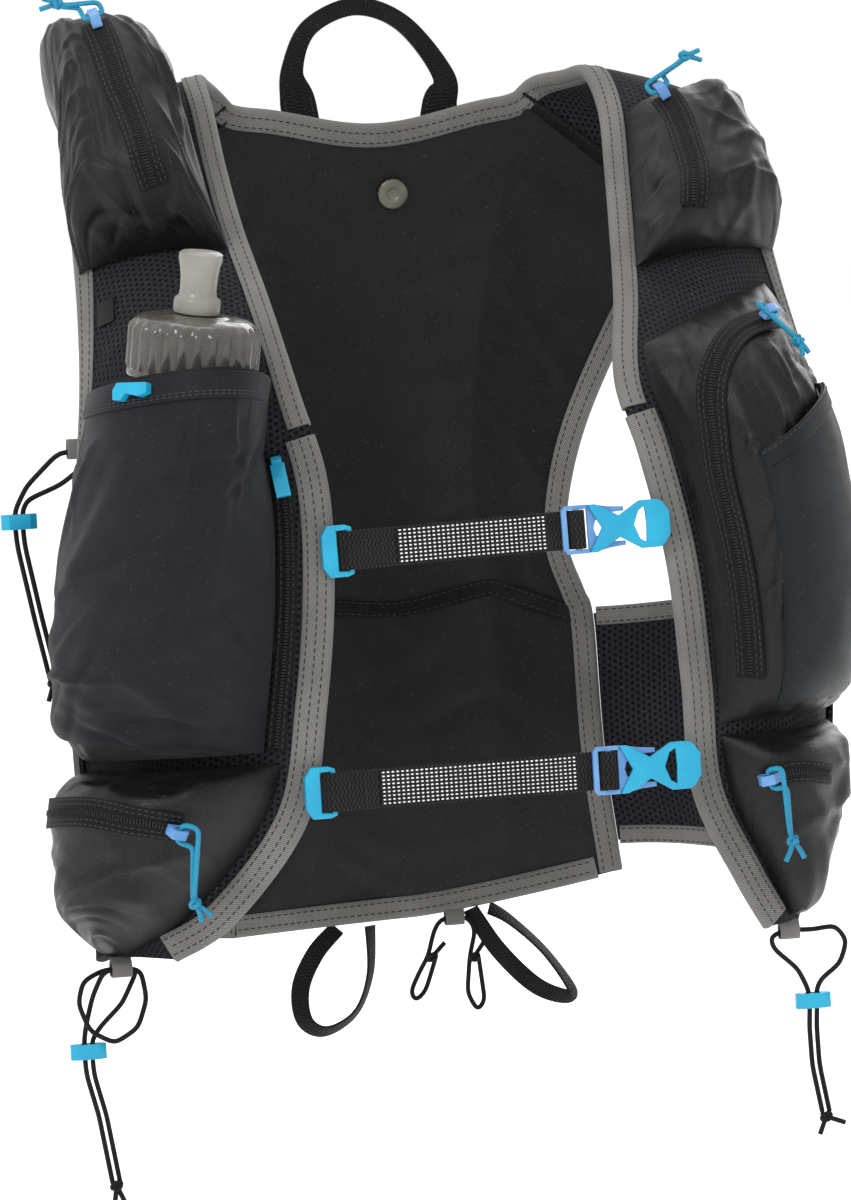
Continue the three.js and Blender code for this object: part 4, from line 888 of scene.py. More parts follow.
@dataclass(frozen=True)
class PlasticFinish:
    """A moulded finish: two near tones, a fine grain, and light let through where it is clear."""

    name: str
    colour: str
    other: str
    rough: float = 0.38
    clear: float = 0.0
    metal: float = 0.0
    glow: float = 0.0
    grain: float = 700.0
    coat: float = 0.15

    def make(self) -> bpy.types.Material:
        """The tones drift with noise, edges and faces carry a fine orange skin."""
        shader = Shader(self.name)
        drift = shader.ramp(shader.noise(70), 0.3, 0.7)
        shader.feed(shader.main.inputs["Base Color"],
                    shader.mixed(drift, tone(self.colour), tone(self.other)))
        scuff = shader.ramp(shader.noise(240), 0.3, 0.75, self.rough - 0.06, self.rough + 0.12)
        shader.feed(shader.main.inputs["Roughness"], scuff)
        shader.main.inputs["Transmission Weight"].default_value = self.clear
        shader.main.inputs["Metallic"].default_value = self.metal
        shader.main.inputs["Subsurface Weight"].default_value = self.glow
        shader.main.inputs["Subsurface Radius"].default_value = (0.004, 0.004, 0.004)
        shader.main.inputs["Subsurface Scale"].default_value = 1.0
        shader.main.inputs["Coat Weight"].default_value = self.coat
        shader.main.inputs["IOR"].default_value = 1.46
        shader.bump(shader.noise(self.grain, 2), 0.00006, 0.35)
        return shader.material


class Finishes:
    """Every finish of the vest, made once."""

    def __init__(self) -> None:
        """Makes the materials."""
        self.liner = ClothFinish("liner_cloth", "19191b", "0d0d0e", Weave.PLAIN, 0.0007, 0.4, 0.02, 0.00012,
                                 crinkle=0.6, specular=0.2).make()
        self.mesh = ClothFinish("body_mesh", "202125", "040405", Weave.MESH, 0.0024, 0.8, 0.05, 0.0005,
                                specular=0.12).make()
        self.tape = ClothFinish("grey_twill", "807e7b", "545250", Weave.TWILL, 0.0011, 0.85, 0.1, 0.0002,
                                specular=0.15).make()
        self.thread = ClothFinish("stitch_thread", "29282a", "131314", Weave.TWILL, 0.0007, 0.7, 0.05,
                                  0.0001).make()
        self.pale_thread = ClothFinish("pale_thread", "38383c", "1e1e21", Weave.TWILL, 0.0007, 0.7, 0.05,
                                       0.0001).make()
        self.zip_tape = ClothFinish("zip_tape", "101012", "040405", Weave.TWILL, 0.0009, 0.6, 0.05, 0.0002,
                                    specular=0.15).make()
        self.ripstop = ClothFinish("black_ripstop", "111113", "070708", Weave.RIPSTOP, 0.0005, 0.36, 0.02,
                                   0.00010,
                                   crinkle=2.0, specular=0.24).make()
        self.pocket = ClothFinish("dark_pocket_cloth", "1b1c22", "0d0e12", Weave.PLAIN, 0.0008, 0.6, 0.05,
                                  0.00014,
                                  crinkle=1.2, specular=0.14).make()
        self.stretch = ClothFinish("stretch_knit", "0f171c", "070b0e", Weave.TWILL, 0.0006, 0.46, 0.06,
                                   0.00008,
                                   specular=0.2).make()
        self.webbing = ClothFinish("dark_webbing", "262422", "0d0c0c", Weave.RIB, 0.0016, 0.8, 0.05, 0.0004,
                                   specular=0.15).make()
        self.black_webbing = ClothFinish("black_webbing", "101011", "050505", Weave.RIB, 0.0016, 0.7, 0.05,
                                         0.0004,
                                         specular=0.18).make()
        self.cord = ClothFinish("black_braid", "131416", "050506", Weave.BRAID, 0.0013, 0.7, 0.05, 0.0003,
                                specular=0.2).make()
        self.blue_cord = ClothFinish("blue_braid", "1496bd", "076482", Weave.BRAID, 0.0013, 0.6, 0.05,
                                     0.0003).make()
        self.tab = ClothFinish("satin_tab", "0f1012", "080809", Weave.TWILL, 0.0004, 0.4, 0.05, 0.00005,
                               specular=0.25).make()
        self.blue = PlasticFinish("blue_plastic", "068fb4", "0d9bbf", 0.4, coat=0.05).make()
        self.sky = PlasticFinish("pale_plastic", "4f80b8", "6190c2", 0.4, coat=0.05).make()
        self.cap = PlasticFinish("smoky_plastic", "5f5b53", "747068", 0.2, clear=0.55).make()
        self.flask = PlasticFinish("flask_film", "55534f", "696762", 0.2, clear=0.4).make()
        self.valve = PlasticFinish("valve_silicone", "8e8c83", "a19f96", 0.38, clear=0.35).make()
        self.metal = PlasticFinish("dull_snap", "5a574f", "787367", 0.42, metal=0.85).make()
        self.dots = PlasticFinish("bright_dots", "c9cbce", "e3e4e6", 0.3, grain=2500).make()


def seated(piece: bpy.types.Object, slot: str, *nodes: str) -> bpy.types.Object:
    """Makes a piece ride on the body and stand for its nodes, which it hides.

    Args:
        piece: The piece.
        slot: Not used.
        nodes: The nodes that it stands for.

    Returns:
        The same piece.
    """
    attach(piece, "root")
    if nodes:
        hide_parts(*nodes)
    LOG.info("%s: %d faces", piece.name, len(piece.data.polygons))
    return piece


def stitch(made: Made, frames: Frames, side: float, out: float, pitch: float = 3.0,
           size: float = 0.55) -> None:
    """A line of thread dashes along frames, at a place to the side and outward.

    Args:
        made: The mesh that the dashes go into.
        frames: The line.
        side: Millimetres to the side.
        out: Millimetres outward.
        pitch: Millimetres from dash to dash.
        size: Thickness of the thread.
    """
    form, quads = bead((size, size * 0.8, pitch * 0.66))
    made.scattered(form, quads, spaced(shifted(frames, side, out), pitch))


def edge_frames(surface: Surface, across: float, start: float, end: float, count: int) -> Frames:
    """Frames down the edge of a front panel.

    Args:
        surface: The panel.
        across: 0 for its inner edge and 1 for its outer one.
        start: First section number.
        end: Last section number.
        count: Frames wanted.

    Returns:
        The frames.
    """
    rows = np.linspace(start, end, count)
    over = np.full(count, across)
    facing = np.full(count, across + (0.5 - across) * EDGE_COLUMN)
    return frames_on([surface] * count, rows, over, 0.0, facing)


def joined(*parts: Frames) -> Frames:
    """Several runs of frames as one, its gaps bridged and its corners eased."""
    at = np.concatenate([part.at for part in parts])
    out = np.concatenate([part.out for part in parts])
    for _ in range(3):
        at[1:-1] = (at[:-2] + 2 * at[1:-1] + at[2:]) / 4
        out[1:-1] = unit((out[:-2] + 2 * out[1:-1] + out[2:]) / 4)
    return frames_by(at, out)


def eased(points: Array, pitch: float = 1.0, spread: float = 2.0) -> Array:
    """A path resampled at an even pitch with its corners rounded by a bell-shaped mean; its ends stay.

    Args:
        points: The path.
        pitch: Millimetres from point to point.
        spread: Reach of the mean in millimetres.

    Returns:
        The new path.
    """
    points = np.asarray(points, float)
    run = np.concatenate([[0], np.cumsum(np.linalg.norm(np.diff(points, axis=0), axis=1))])
    count = max(8, int(run[-1] / pitch))
    want = np.linspace(0, run[-1], count)
    line = np.stack([np.interp(want, run, points[:, k]) for k in range(3)], -1)
    reach = np.minimum(np.minimum(want, run[-1] - want), 3 * spread)
    near = np.abs(want[:, None] - want[None]) / np.maximum(reach[:, None] / 3, 1e-3)
    weight = np.where(near < 3, np.exp(-near**2 / 2), 0)
    return weight @ line / weight.sum(1, keepdims=True)


def flat_map(points: Array) -> Array:
    """Metres across from the middle column and metres down each column of a grid."""
    over = np.cumsum(np.linalg.norm(np.diff(points, axis=1), axis=-1), 1)
    over = np.concatenate([np.zeros((len(points), 1)), over], 1)
    down = np.cumsum(np.linalg.norm(np.diff(points, axis=0), axis=-1), 0)
    down = np.concatenate([np.zeros((1, points.shape[1])), down], 0)
    middle = points.shape[1] // 2
    return np.stack([over - over[:, middle:middle + 1], down], -1) * MM


def band_on(surface: Surface, downs: Array, acrosses: Array, lift: float) -> Frames:
    """Frames along a run of spots on one surface.

    Args:
        surface: The surface.
        downs: How far down each spot lies.
        acrosses: How far across each spot lies.
        lift: Height above the surface.

    Returns:
        The frames.
    """
    return frames_by(surface.off(downs, acrosses, lift), surface.out(downs, acrosses))


def moulded(name: str, node: str, finish: bpy.types.Material, slot: str, bevel: float,
            smooth: int = 0) -> bpy.types.Object:
    """A piece with the shape of a CAD node, its edges rounded by a bevel or its form by subdivision.

    Args:
        name: Name of the piece.
        node: The node that it stands for.
        finish: Its material.
        slot: Not used; it is only passed on to seated, which does not read it.
        bevel: Width of the rounded edges in millimetres, 0 for none.
        smooth: Levels of subdivision.

    Returns:
        The piece.
    """
    source = bpy.data.objects[node]
    mesh = source.data.copy()
    mesh.name = name
    made = bmesh.new()
    made.from_mesh(mesh)
    bmesh.ops.remove_doubles(made, verts=made.verts, dist=2e-6)
    bmesh.ops.dissolve_limit(made, angle_limit=np.radians(1.0), verts=made.verts, edges=made.edges)
    made.to_mesh(mesh)
    made.free()
    mesh.materials.clear()
    mesh.materials.append(finish)
    mesh.shade_smooth()
    piece = bpy.data.objects.new(name, mesh)
    bpy.context.scene.collection.objects.link(piece)
    if bevel:
        edge = piece.modifiers.new("rounded", "BEVEL")
        edge.width = bevel * MM
        edge.segments = 3
        edge.limit_method = "ANGLE"
        edge.angle_limit = np.radians(28)
        edge.harden_normals = True
    if smooth:
        form = piece.modifiers.new("smoothed", "SUBSURF")
        form.levels = form.render_levels = smooth
    return seated(piece, slot, node)


class SideSurface(Surface):
    """The mesh between the back panel's side and a front panel: a cubic curve carried downward."""

    def __init__(self, front: FrontSurface, back_across: float,
                 ends: tuple[float, float, float, float]) -> None:
        """Keeps the rows of its corners on the back panel and on the front one."""
        self.sign = front.sign
        self.front, self.back_across, self.ends = front, back_across, ends

    def at(self, down: Array, across: Array) -> Array:
        """The point at a share of a cubic curve with two end points and two handles."""
        down, across = np.broadcast_arrays(np.asarray(down, float), np.asarray(across, float))
        top_a, foot_a, top_b, foot_b = self.ends
        shift = np.array([self.sign * (TAPE_EDGE + GAP + 2), 0, 0])
        a = BACK.at(top_a + (foot_a - top_a) * down, np.full_like(down, self.back_across)) + shift
        b = self.front.at(top_b + (foot_b - top_b) * down, np.ones_like(down)) + shift
        c = a + np.array([self.sign * 0.26 * HALF_CHEST, -0.13 * BACK_REACH, 0])
        d = b + np.array([self.sign * 0.01 * HALF_CHEST, 0.36 * FRONT_REACH, 0])
        t = across[..., None]
        return a * (1 - t) ** 3 + 3 * c * t * (1 - t) ** 2 + 3 * d * t**2 * (1 - t) + b * t**3


@dataclass
class Panels:
    """The padded mesh body: the back, the two fronts, and the thin mesh at the sides."""

    finishes: Finishes
    thickness: float = PADDING
    softness: float = 0.35
    liner_softness: float = 1.1

    def padded_sheet(self, name: str, node: str, surface: Surface, rows: float, count: tuple[int, int],
                     finish: bpy.types.Material, slot: str, seed: int, soft: float) -> bpy.types.Object:
        """A pad of even thickness about a surface, its faces softly uneven.

        Args:
            name: Name of the piece.
            node: The node that it stands for.
            surface: Its middle surface.
            rows: The last section number.
            count: Points down and across.
            finish: Its material.
            slot: Not used; it is only passed on to seated, which does not read it.
            seed: Start of the random unevenness.
            soft: How far its faces rise and fall, in millimetres.

        Returns:
            The piece.
        """
        down, across = np.meshgrid(np.linspace(0, rows, count[0]), np.linspace(0, 1, count[1]), indexing="ij")
        middle = surface.at(down, across)
        normal = surface.out(down, across)
        uv = flat_map(middle)
        uneven = ridges(uv[..., 0] / MM, uv[..., 1] / MM, seed, 90, (2.5, 8), (14, 60), 0.15, 0.5)
        inside = np.clip(12 * across * (1 - across), 0, 1) * np.clip(30 * down / rows * (1 - down / rows),
                                                                     0, 1)
        uneven = (soft * np.clip(uneven, -2.4, 2.4) * inside)[..., None]
        made = Made()
        made.shell(middle + normal * (self.thickness / 2 + uneven),
                   middle - normal * (self.thickness / 2 - uneven), uv)
        piece = seated(made.build(name, finish), slot, node)
        return piece

    def side_sheet(self, name: str, node: str, surface: SideSurface) -> bpy.types.Object:
        """A thin sheet of mesh with a taped upper and lower edge.

        Args:
            name: Name of the piece.
            node: The node that it stands for.
            surface: Its middle surface.

        Returns:
            The piece.
        """
        down, across = np.meshgrid(np.linspace(0.01, 0.99, 50), np.linspace(-0.02, 1.012, 70), indexing="ij")
        middle = surface.at(down, across)
        normal = surface.out(down, across)
        made = Made()
        made.shell(middle + normal * 0.9, middle - normal * 0.9, flat_map(middle))
        piece = seated(made.build(name, self.finishes.mesh), "mesh", node)
        edges = Made()
        thread = Made()
        for row in (0.035, 0.965):
            share = np.linspace(-0.012, 1.008, 60)
            frames = band_on(surface, np.full(60, row), share, 0.0)
            edges.swept(carry(frames, rounded(8, 3.4, 1.3)))
            for turn in (-1, 1):
                stitch(thread, frames, 2.6, turn * 1.75, 3.0)
                stitch(thread, frames, -2.6, turn * 1.75, 3.0)
        seated(edges.build(f"{name}_edges", self.finishes.tape), "grey_tape")
        seated(thread.build(f"{name}_thread", self.finishes.thread), "grey_tape")
        return piece

    def seam(self) -> None:
        """The flat tape over the liner's cross seam, and the tapes that join each front to the back's yoke."""
        tape, thread = Made(), Made()
        across = np.linspace(0.02, 0.98, 90)
        frames = band_on(BACK, np.full(90, 7.0), across, -self.thickness / 2 - 0.45)
        tape.swept(carry(frames, rounded(7, 0.7, 0.3)))
        for place in (-2.4, 2.4):
            stitch(thread, frames, place, -0.45)
        for surface in (LEFT, RIGHT):
            share = np.linspace(0.02, 0.98, 40)
            for lift in (-1, 1):
                run = band_on(surface, np.full(40, 0.02), share, lift * (self.thickness / 2 + 0.4))
                tape.swept(carry(run, rounded(8, 0.7, 0.3)))
                stitch(thread, run, 2.6, lift * 0.45)
                stitch(thread, run, -2.6, lift * 0.45)
        seated(tape.build("seam_tapes", self.finishes.zip_tape), "liner")
        seated(thread.build("seam_thread", self.finishes.thread), "liner")

    def make(self) -> None:
        """Builds every panel."""
        self.padded_sheet("back_panel_pad", "back_panel", BACK, 9, (200, 150), self.finishes.liner, "liner",
                          3,
                          self.liner_softness)
        self.padded_sheet("front_panel_left_pad", "front_panel_left", LEFT, 14, (190, 44),
                          self.finishes.mesh, "mesh", 5,
                          self.softness)
        self.padded_sheet("front_panel_right_pad", "front_panel_right", RIGHT, 14, (190, 44),
                          self.finishes.mesh,
                          "mesh", 6, self.softness)
        self.side_sheet("side_mesh_left", "side_panel_left", SideSurface(LEFT, 0, (6.9, 8.7, 11.1, 13.1)))
        self.side_sheet("side_mesh_right", "side_panel_right", SideSurface(RIGHT, 1, (6.9, 8.7, 10.4, 13.1)))
        self.seam()


@dataclass
class Tapes:
    """The folded tapes: round the neck, the arm openings and the hem, and down the two front edges."""

    finishes: Finishes
    row_pitch: float = 3.0

    def tape(self, name: str, node: str, frames: Frames, reach: float, turn: float,
             rows: tuple[float, ...]) -> None:
        """A folded tape along frames with rows of stitches on both leaves.

        Args:
            name: Name of the piece.
            node: The node that it stands for.
            frames: The cloth's edge.
            reach: How far the leaves reach over the cloth.
            turn: 1 where the cloth lies to the side of the frames, -1 where it lies the other way.
            rows: How far each row of stitches lies from the edge.
        """
        made, thread = Made(), Made()
        made.swept(carry(frames, fold(reach), turn=turn))
        for place in rows:
            for leaf in (-1, 1):
                stitch(thread, frames, turn * place, leaf * (PADDING / 2 + 1.2), self.row_pitch)
        seated(made.build(name, self.finishes.tape, 60), "grey_tape", node)
        seated(thread.build(f"{name}_thread", self.finishes.thread), "grey_tape")

    def neckline(self) -> Frames:
        """From the left chest up, round the back of the neck and down to the right chest."""
        left = edge_frames(LEFT, 0.0, NECK_END, 0.0, 110)
        right = edge_frames(RIGHT, 0.0, 0.0, NECK_END, 110)
        across = np.linspace(0.27, 0.73, 60)
        middle = band_on(BACK, np.zeros(60), across, 0.0)
        return joined(left, middle, right)

    def armline(self, surface: FrontSurface, back_across: float) -> Frames:
        """From the chest up over the shoulder and down the back panel's side.

        Args:
            surface: The front panel.
            back_across: 0 for the left side of the back panel and 1 for the right.

        Returns:
            The frames.
        """
        front = edge_frames(surface, 1.0, ARM_END, 0.0, 120)
        rows = np.linspace(0.15, 9, 110)
        back = band_on(BACK, rows, np.full(110, back_across), 0.0)
        return joined(front, back)

    def tab(self, name: str, at: Array, depth: float, length: float) -> None:
        """A folded scrap of tape that holds a cord: a U hanging in the plane square to x.

        Args:
            name: Name of the piece.
            at: Middle of the channel that the cord runs through.
            depth: Depth of the channel.
            length: Its length along x.
        """
        w, h = depth / 2 + 0.7, 2.3
        path = np.array([[-0.8, 4.2], [-w, 1.4], [-w, -h], [-0.5 * w, -1.3 * h], [0.5 * w, -1.3 * h], [w, -h],
                         [w, 1.4], [0.8, 4.2]])
        points = smooth_path(np.stack([np.zeros(8), path[:, 0], path[:, 1]], -1) + at, 40)
        frames = frames_by(points, np.array([0.0, 1.0, 0.001]))
        side = np.broadcast_to(np.array([1.0, 0.0, 0.0]), points.shape)
        frames = Frames(points, frames.along, np.cross(frames.along, side), side)
        made = Made()
        made.swept(carry(frames, rounded(length, 0.9, 0.35)))
        seated(made.build(name, self.finishes.tape), "grey_tape")

    def make(self) -> None:
        """Builds every tape and cord tab."""
        self.tape("neck_tape", "neck_binding", self.neckline(), BINDING_REACH, 1, (2.2, 6.4))
        self.tape("arm_tape_left", "arm_binding_left", self.armline(LEFT, 0.0), BINDING_REACH, -1, (2.2, 6.4))
        self.tape("arm_tape_right", "arm_binding_right", self.armline(RIGHT, 1.0), BINDING_REACH, 1,
                  (2.2, 6.4))
        across = np.linspace(0.05, 0.95, 100)
        hem = band_on(BACK, np.full(100, 9.0), across, 0.0)
        self.tape("hem_tape", "hem_binding", hem, BINDING_REACH, -1, (2.2, 6.4))
        for name, surface in (("left", LEFT), ("right", RIGHT)):
            frames = edge_frames(surface, 0.0, NECK_END + 0.12, 14, 120)
            self.tape(f"rail_tape_{name}", f"rail_{name}", frames, RAIL_REACH, surface.sign, (1.8, 5.2, 8.8))
        for name, surface in (("left", LEFT), ("right", RIGHT)):
            edge = edge_frames(surface, 1.0, ARM_END - 0.06, 13.95, 90)
            frames = shifted(edge, surface.sign * 1.5, 0)
            made, thread = Made(), Made()
            made.swept(carry(frames, rounded(9, 5.0, 2.3)))
            stitch(thread, frames, 0, 2.6, self.row_pitch)
            stitch(thread, frames, 0, -2.6, self.row_pitch)
            seated(made.build(f"side_seam_tape_{name}", self.finishes.zip_tape, 60), "mesh")
            seated(thread.build(f"side_seam_thread_{name}", self.finishes.thread), "mesh")
        self.tab("hem_tab_left", LEFT.at(14.1, 0.8) - [0, 0, 3.4], 6, 8)
        self.tab("hem_tab_right", RIGHT.at(14.1, 0.79) - [0, 0, 3.4], 3, 8)
        self.tab("side_tab_left", LEFT.at(8.6, 1.0) + np.array([-3.1, 3.8, -1.7]), 3, 5)
        self.tab("back_tab", BACK.at(9.0, 0.603) - [0, 0, 4.1], 3, 8)


@dataclass(frozen=True)
class Creases:
    """A family of creases on a pouch, sizes in millimetres, lean 0 across and a right angle down."""

    seed: int
    count: int
    size: tuple[float, float]
    reach: tuple[float, float]
    lean: float
    spread: float
    tall: float
    from_down: float = -1.0
    to_down: float = 2.0


def zip_route(turns: Array, count: int, start: float = 0.0, end: float = 1.0) -> tuple[Array, Array]:
    """Spots along the turning points of a zip, down and across.

    Args:
        turns: The turning points.
        count: Spots wanted.
        start: Share of the length at the first spot.
        end: Share at the last.

    Returns:
        How far down and how far across each spot lies.
    """
    index = np.linspace(start, end, count) * (len(turns) - 1)
    spots = through(np.asarray(turns, float), index)
    return spots[:, 0], spots[:, 1]


@dataclass
class Pocket:
    """A sewn pocket: a crumpled shell over a pouch, with its hem and its zip."""

    name: str
    node: str
    pouch: Pouch
    finish: bpy.types.Material
    slot: str
    creases: tuple[Creases, ...]
    count: tuple[int, int] = (110, 90)
    zip_turns: tuple[tuple[float, float], ...] = ()
    zip_width: float = ZIP_WIDTH
    wall: float = 1.0

    def grid(self) -> tuple[Array, Array]:
        """Shares down and across, closer together at the sewn edges."""
        down = np.linspace(0, 1, self.count[0])
        down = np.sin(down * np.pi / 2) if self.pouch.is_open else 0.5 - 0.5 * np.cos(np.pi * down)
        across = 0.5 - 0.5 * np.cos(np.pi * np.linspace(0, 1, self.count[1]))
        return np.meshgrid(down, across, indexing="ij")

    def height(self, points: Array, down: Array, across: Array) -> Array:
        """The sum of the creases, faded at the sewn edges and under the zip.

        Args:
            points: Points of the smooth pouch.
            down: Share down at each point.
            across: Share across at each point.

        Returns:
            Millimetres outward at each point.
        """
        uv = flat_map(points) / MM
        total = np.zeros_like(down)
        for c in self.creases:
            part = c.tall * ridges(uv[..., 0], uv[..., 1], c.seed, c.count, c.size, c.reach, c.lean, c.spread)
            soft = np.clip((down - c.from_down) * 12, 0, 1) * np.clip((c.to_down - down) * 12, 0, 1)
            total += part * soft
        edge = np.clip(self.pouch.swell(down, across) * 1.5, 0, 1)
        if self.zip_turns:
            row, over = zip_route(np.array(self.zip_turns), 60, -0.02, 1.02)
            line = self.pouch.at(row, over)
            gap = np.min(np.linalg.norm(points[:, :, None] - line[None, None], axis=-1), axis=-1)
            edge = edge * np.clip((gap - self.zip_width * 0.55) / 7, 0, 1)
        return np.tanh(total / 4.5) * 4.5 * edge

    def shell(self) -> bpy.types.Object:
        """The crumpled shell."""
        down, across = self.grid()
        points = self.pouch.at(down, across)
        normal = grid_normals(points, self.pouch.sign)
        outer = points + normal * self.height(points, down, across)[..., None]
        normal = grid_normals(outer, self.pouch.sign)
        made = Made()
        made.shell(outer, outer - normal * self.wall, flat_map(points))
        piece = seated(made.build(self.name, self.finish, 70), self.slot, self.node)
        return piece

    def zip_frames(self, count: int = 90, start: float = 0.0, end: float = 1.0,
                   lift: float = GAP + 0.5) -> Frames:
        """Frames along the zip."""
        row, over = zip_route(np.array(self.zip_turns), count, start, end)
        return band_on(self.pouch, row, over, lift)


class Zip:
    """A zip: two tapes with a gap between them, a coil of small teeth and two rows of stitches a side, one on
    a narrow zip.
    """

    def __init__(self, finishes: Finishes) -> None:
        """Keeps the finishes."""
        self.finishes = finishes

    def make(self, name: str, node: str, frames: Frames, width: float) -> None:
        """Builds the zip along frames.

        Args:
            name: Name of the piece.
            node: The node that it stands for.
            frames: Its middle line.
            width: Its width.
        """
        tape, coil, thread = Made(), Made(), Made()
        half = width / 2 - 0.35
        for turn in (-1, 1):
            tape.swept(carry(shifted(frames, turn * (0.35 + half / 2), 0), rounded(half, 0.8, 0.3)))
            stitch(thread, frames, turn * (width / 2 - 1.1), 0.5, 2.6, 0.5)
            if width > 10:
                stitch(thread, frames, turn * (width / 2 - 3.0), 0.5, 2.6, 0.45)
        form, quads = bead((3.0 if width > 8 else 2.4, 1.2, 0.95))
        coil.scattered(form, quads, spaced(shifted(frames, 0, 0.55), 1.25))
        seated(tape.build(name, self.finishes.zip_tape), "zip_tape", node)
        seated(coil.build(f"{name}_coil", self.finishes.tab), "zip_tape")
        seated(thread.build(f"{name}_thread", self.finishes.pale_thread), "zip_tape")


@dataclass(frozen=True)
class PullPlan:
    """A slider's place on its zip, and how its cord pull hangs and ends."""

    name: str
    share: float
    hang: tuple[float, float, float]
    tails: tuple[tuple[float, float, float], ...]


class Pulls:
    """Sliders, and doubled cord pulls tied in a knot with two short ends."""

    def __init__(self, finishes: Finishes) -> None:
        """Keeps the finishes and the slider's sizes."""
        self.finishes = finishes
        self.length, self.width, self.height, self.cord = SLIDER_LENGTH, SLIDER_WIDTH, SLIDER_HEIGHT, PULL_CORD

    def make(self, plan: PullPlan, pocket: Pocket) -> None:
        """Builds one slider and its pull.

        Args:
            plan: Where and how it hangs.
            pocket: The pocket with its zip.
        """
        moulded(f"slider_{plan.name}_body", f"slider_{plan.name}", self.finishes.sky, "pale_trim", 0.35)
        frames = pocket.zip_frames(3, plan.share - 0.01, plan.share + 0.01, GAP + ZIP_THICKNESS + GAP)
        at, along, out = frames.at[1], frames.along[1], frames.out[1]
        side = np.cross(along, out)
        eye = at + out * (self.height - self.cord / 2 - GAP - 1)
        hang = np.array(plan.hang)
        end = eye + hang
        way = np.sign(np.dot(along, hang))
        reach = self.width / 2 + self.cord / 2 + 2 * GAP
        strands = []
        for turn in (-1, 1):
            beside = eye + side * turn * reach
            strands.append([
                end, end + side * turn * self.cord * 0.55 - unit(hang) * 3,
                beside + along * way * (self.length / 2 + self.cord) + out * self.cord,
                beside + side * turn * GAP + along * way * 2 * self.cord + out * self.cord / 2, beside,
            ])
        path = eased(np.array([*strands[0], eye, *strands[1][::-1]]), 0.7, 1.6)
        made = Made()
        made.swept(tube(path, self.cord / 2, 12))
        for tail in plan.tails:
            line = eased(np.array([end, end + np.array(tail) * 0.5 + [0.4, -0.4, 0], end + np.array(tail)]),
                         0.6, 1.0)
            made.swept(tube(line, self.cord / 2, 12))
        knot(made, end, 2.45, unit(hang))
        seated(made.build(f"pull_{plan.name}_cord", self.finishes.blue_cord), "bright_trim",
               f"pull_{plan.name}")


def knot(made: Made, at: Array, radius: float, along: Array) -> None:
    """A tied knot: a turn of cord that winds twice round a tight ring and once through it, over a core.

    Args:
        made: The mesh that the knot goes into.
        at: Its middle.
        radius: Its radius.
        along: The way that the cord runs through it.
    """
    turn = np.linspace(0, 2 * np.pi, 120)
    ring = radius * 0.52
    side = unit(np.cross(along, [0.3, 0.5, 0.81]))
    other = np.cross(along, side)
    swing = ring + radius * 0.2 * np.cos(3 * turn)
    path = (at + np.outer(swing * np.cos(2 * turn), side) + np.outer(swing * np.sin(2 * turn), other)
            + np.outer(radius * 0.42 * np.sin(3 * turn), along))
    made.swept(tube(path[:-2], radius * 0.4, 10))
    core = at + np.outer(np.linspace(-0.55, 0.55, 9) * radius, along)
    made.swept(tube(core, radius * 0.5 * np.sqrt(1 - np.linspace(-0.9, 0.9, 9) ** 2), 12))


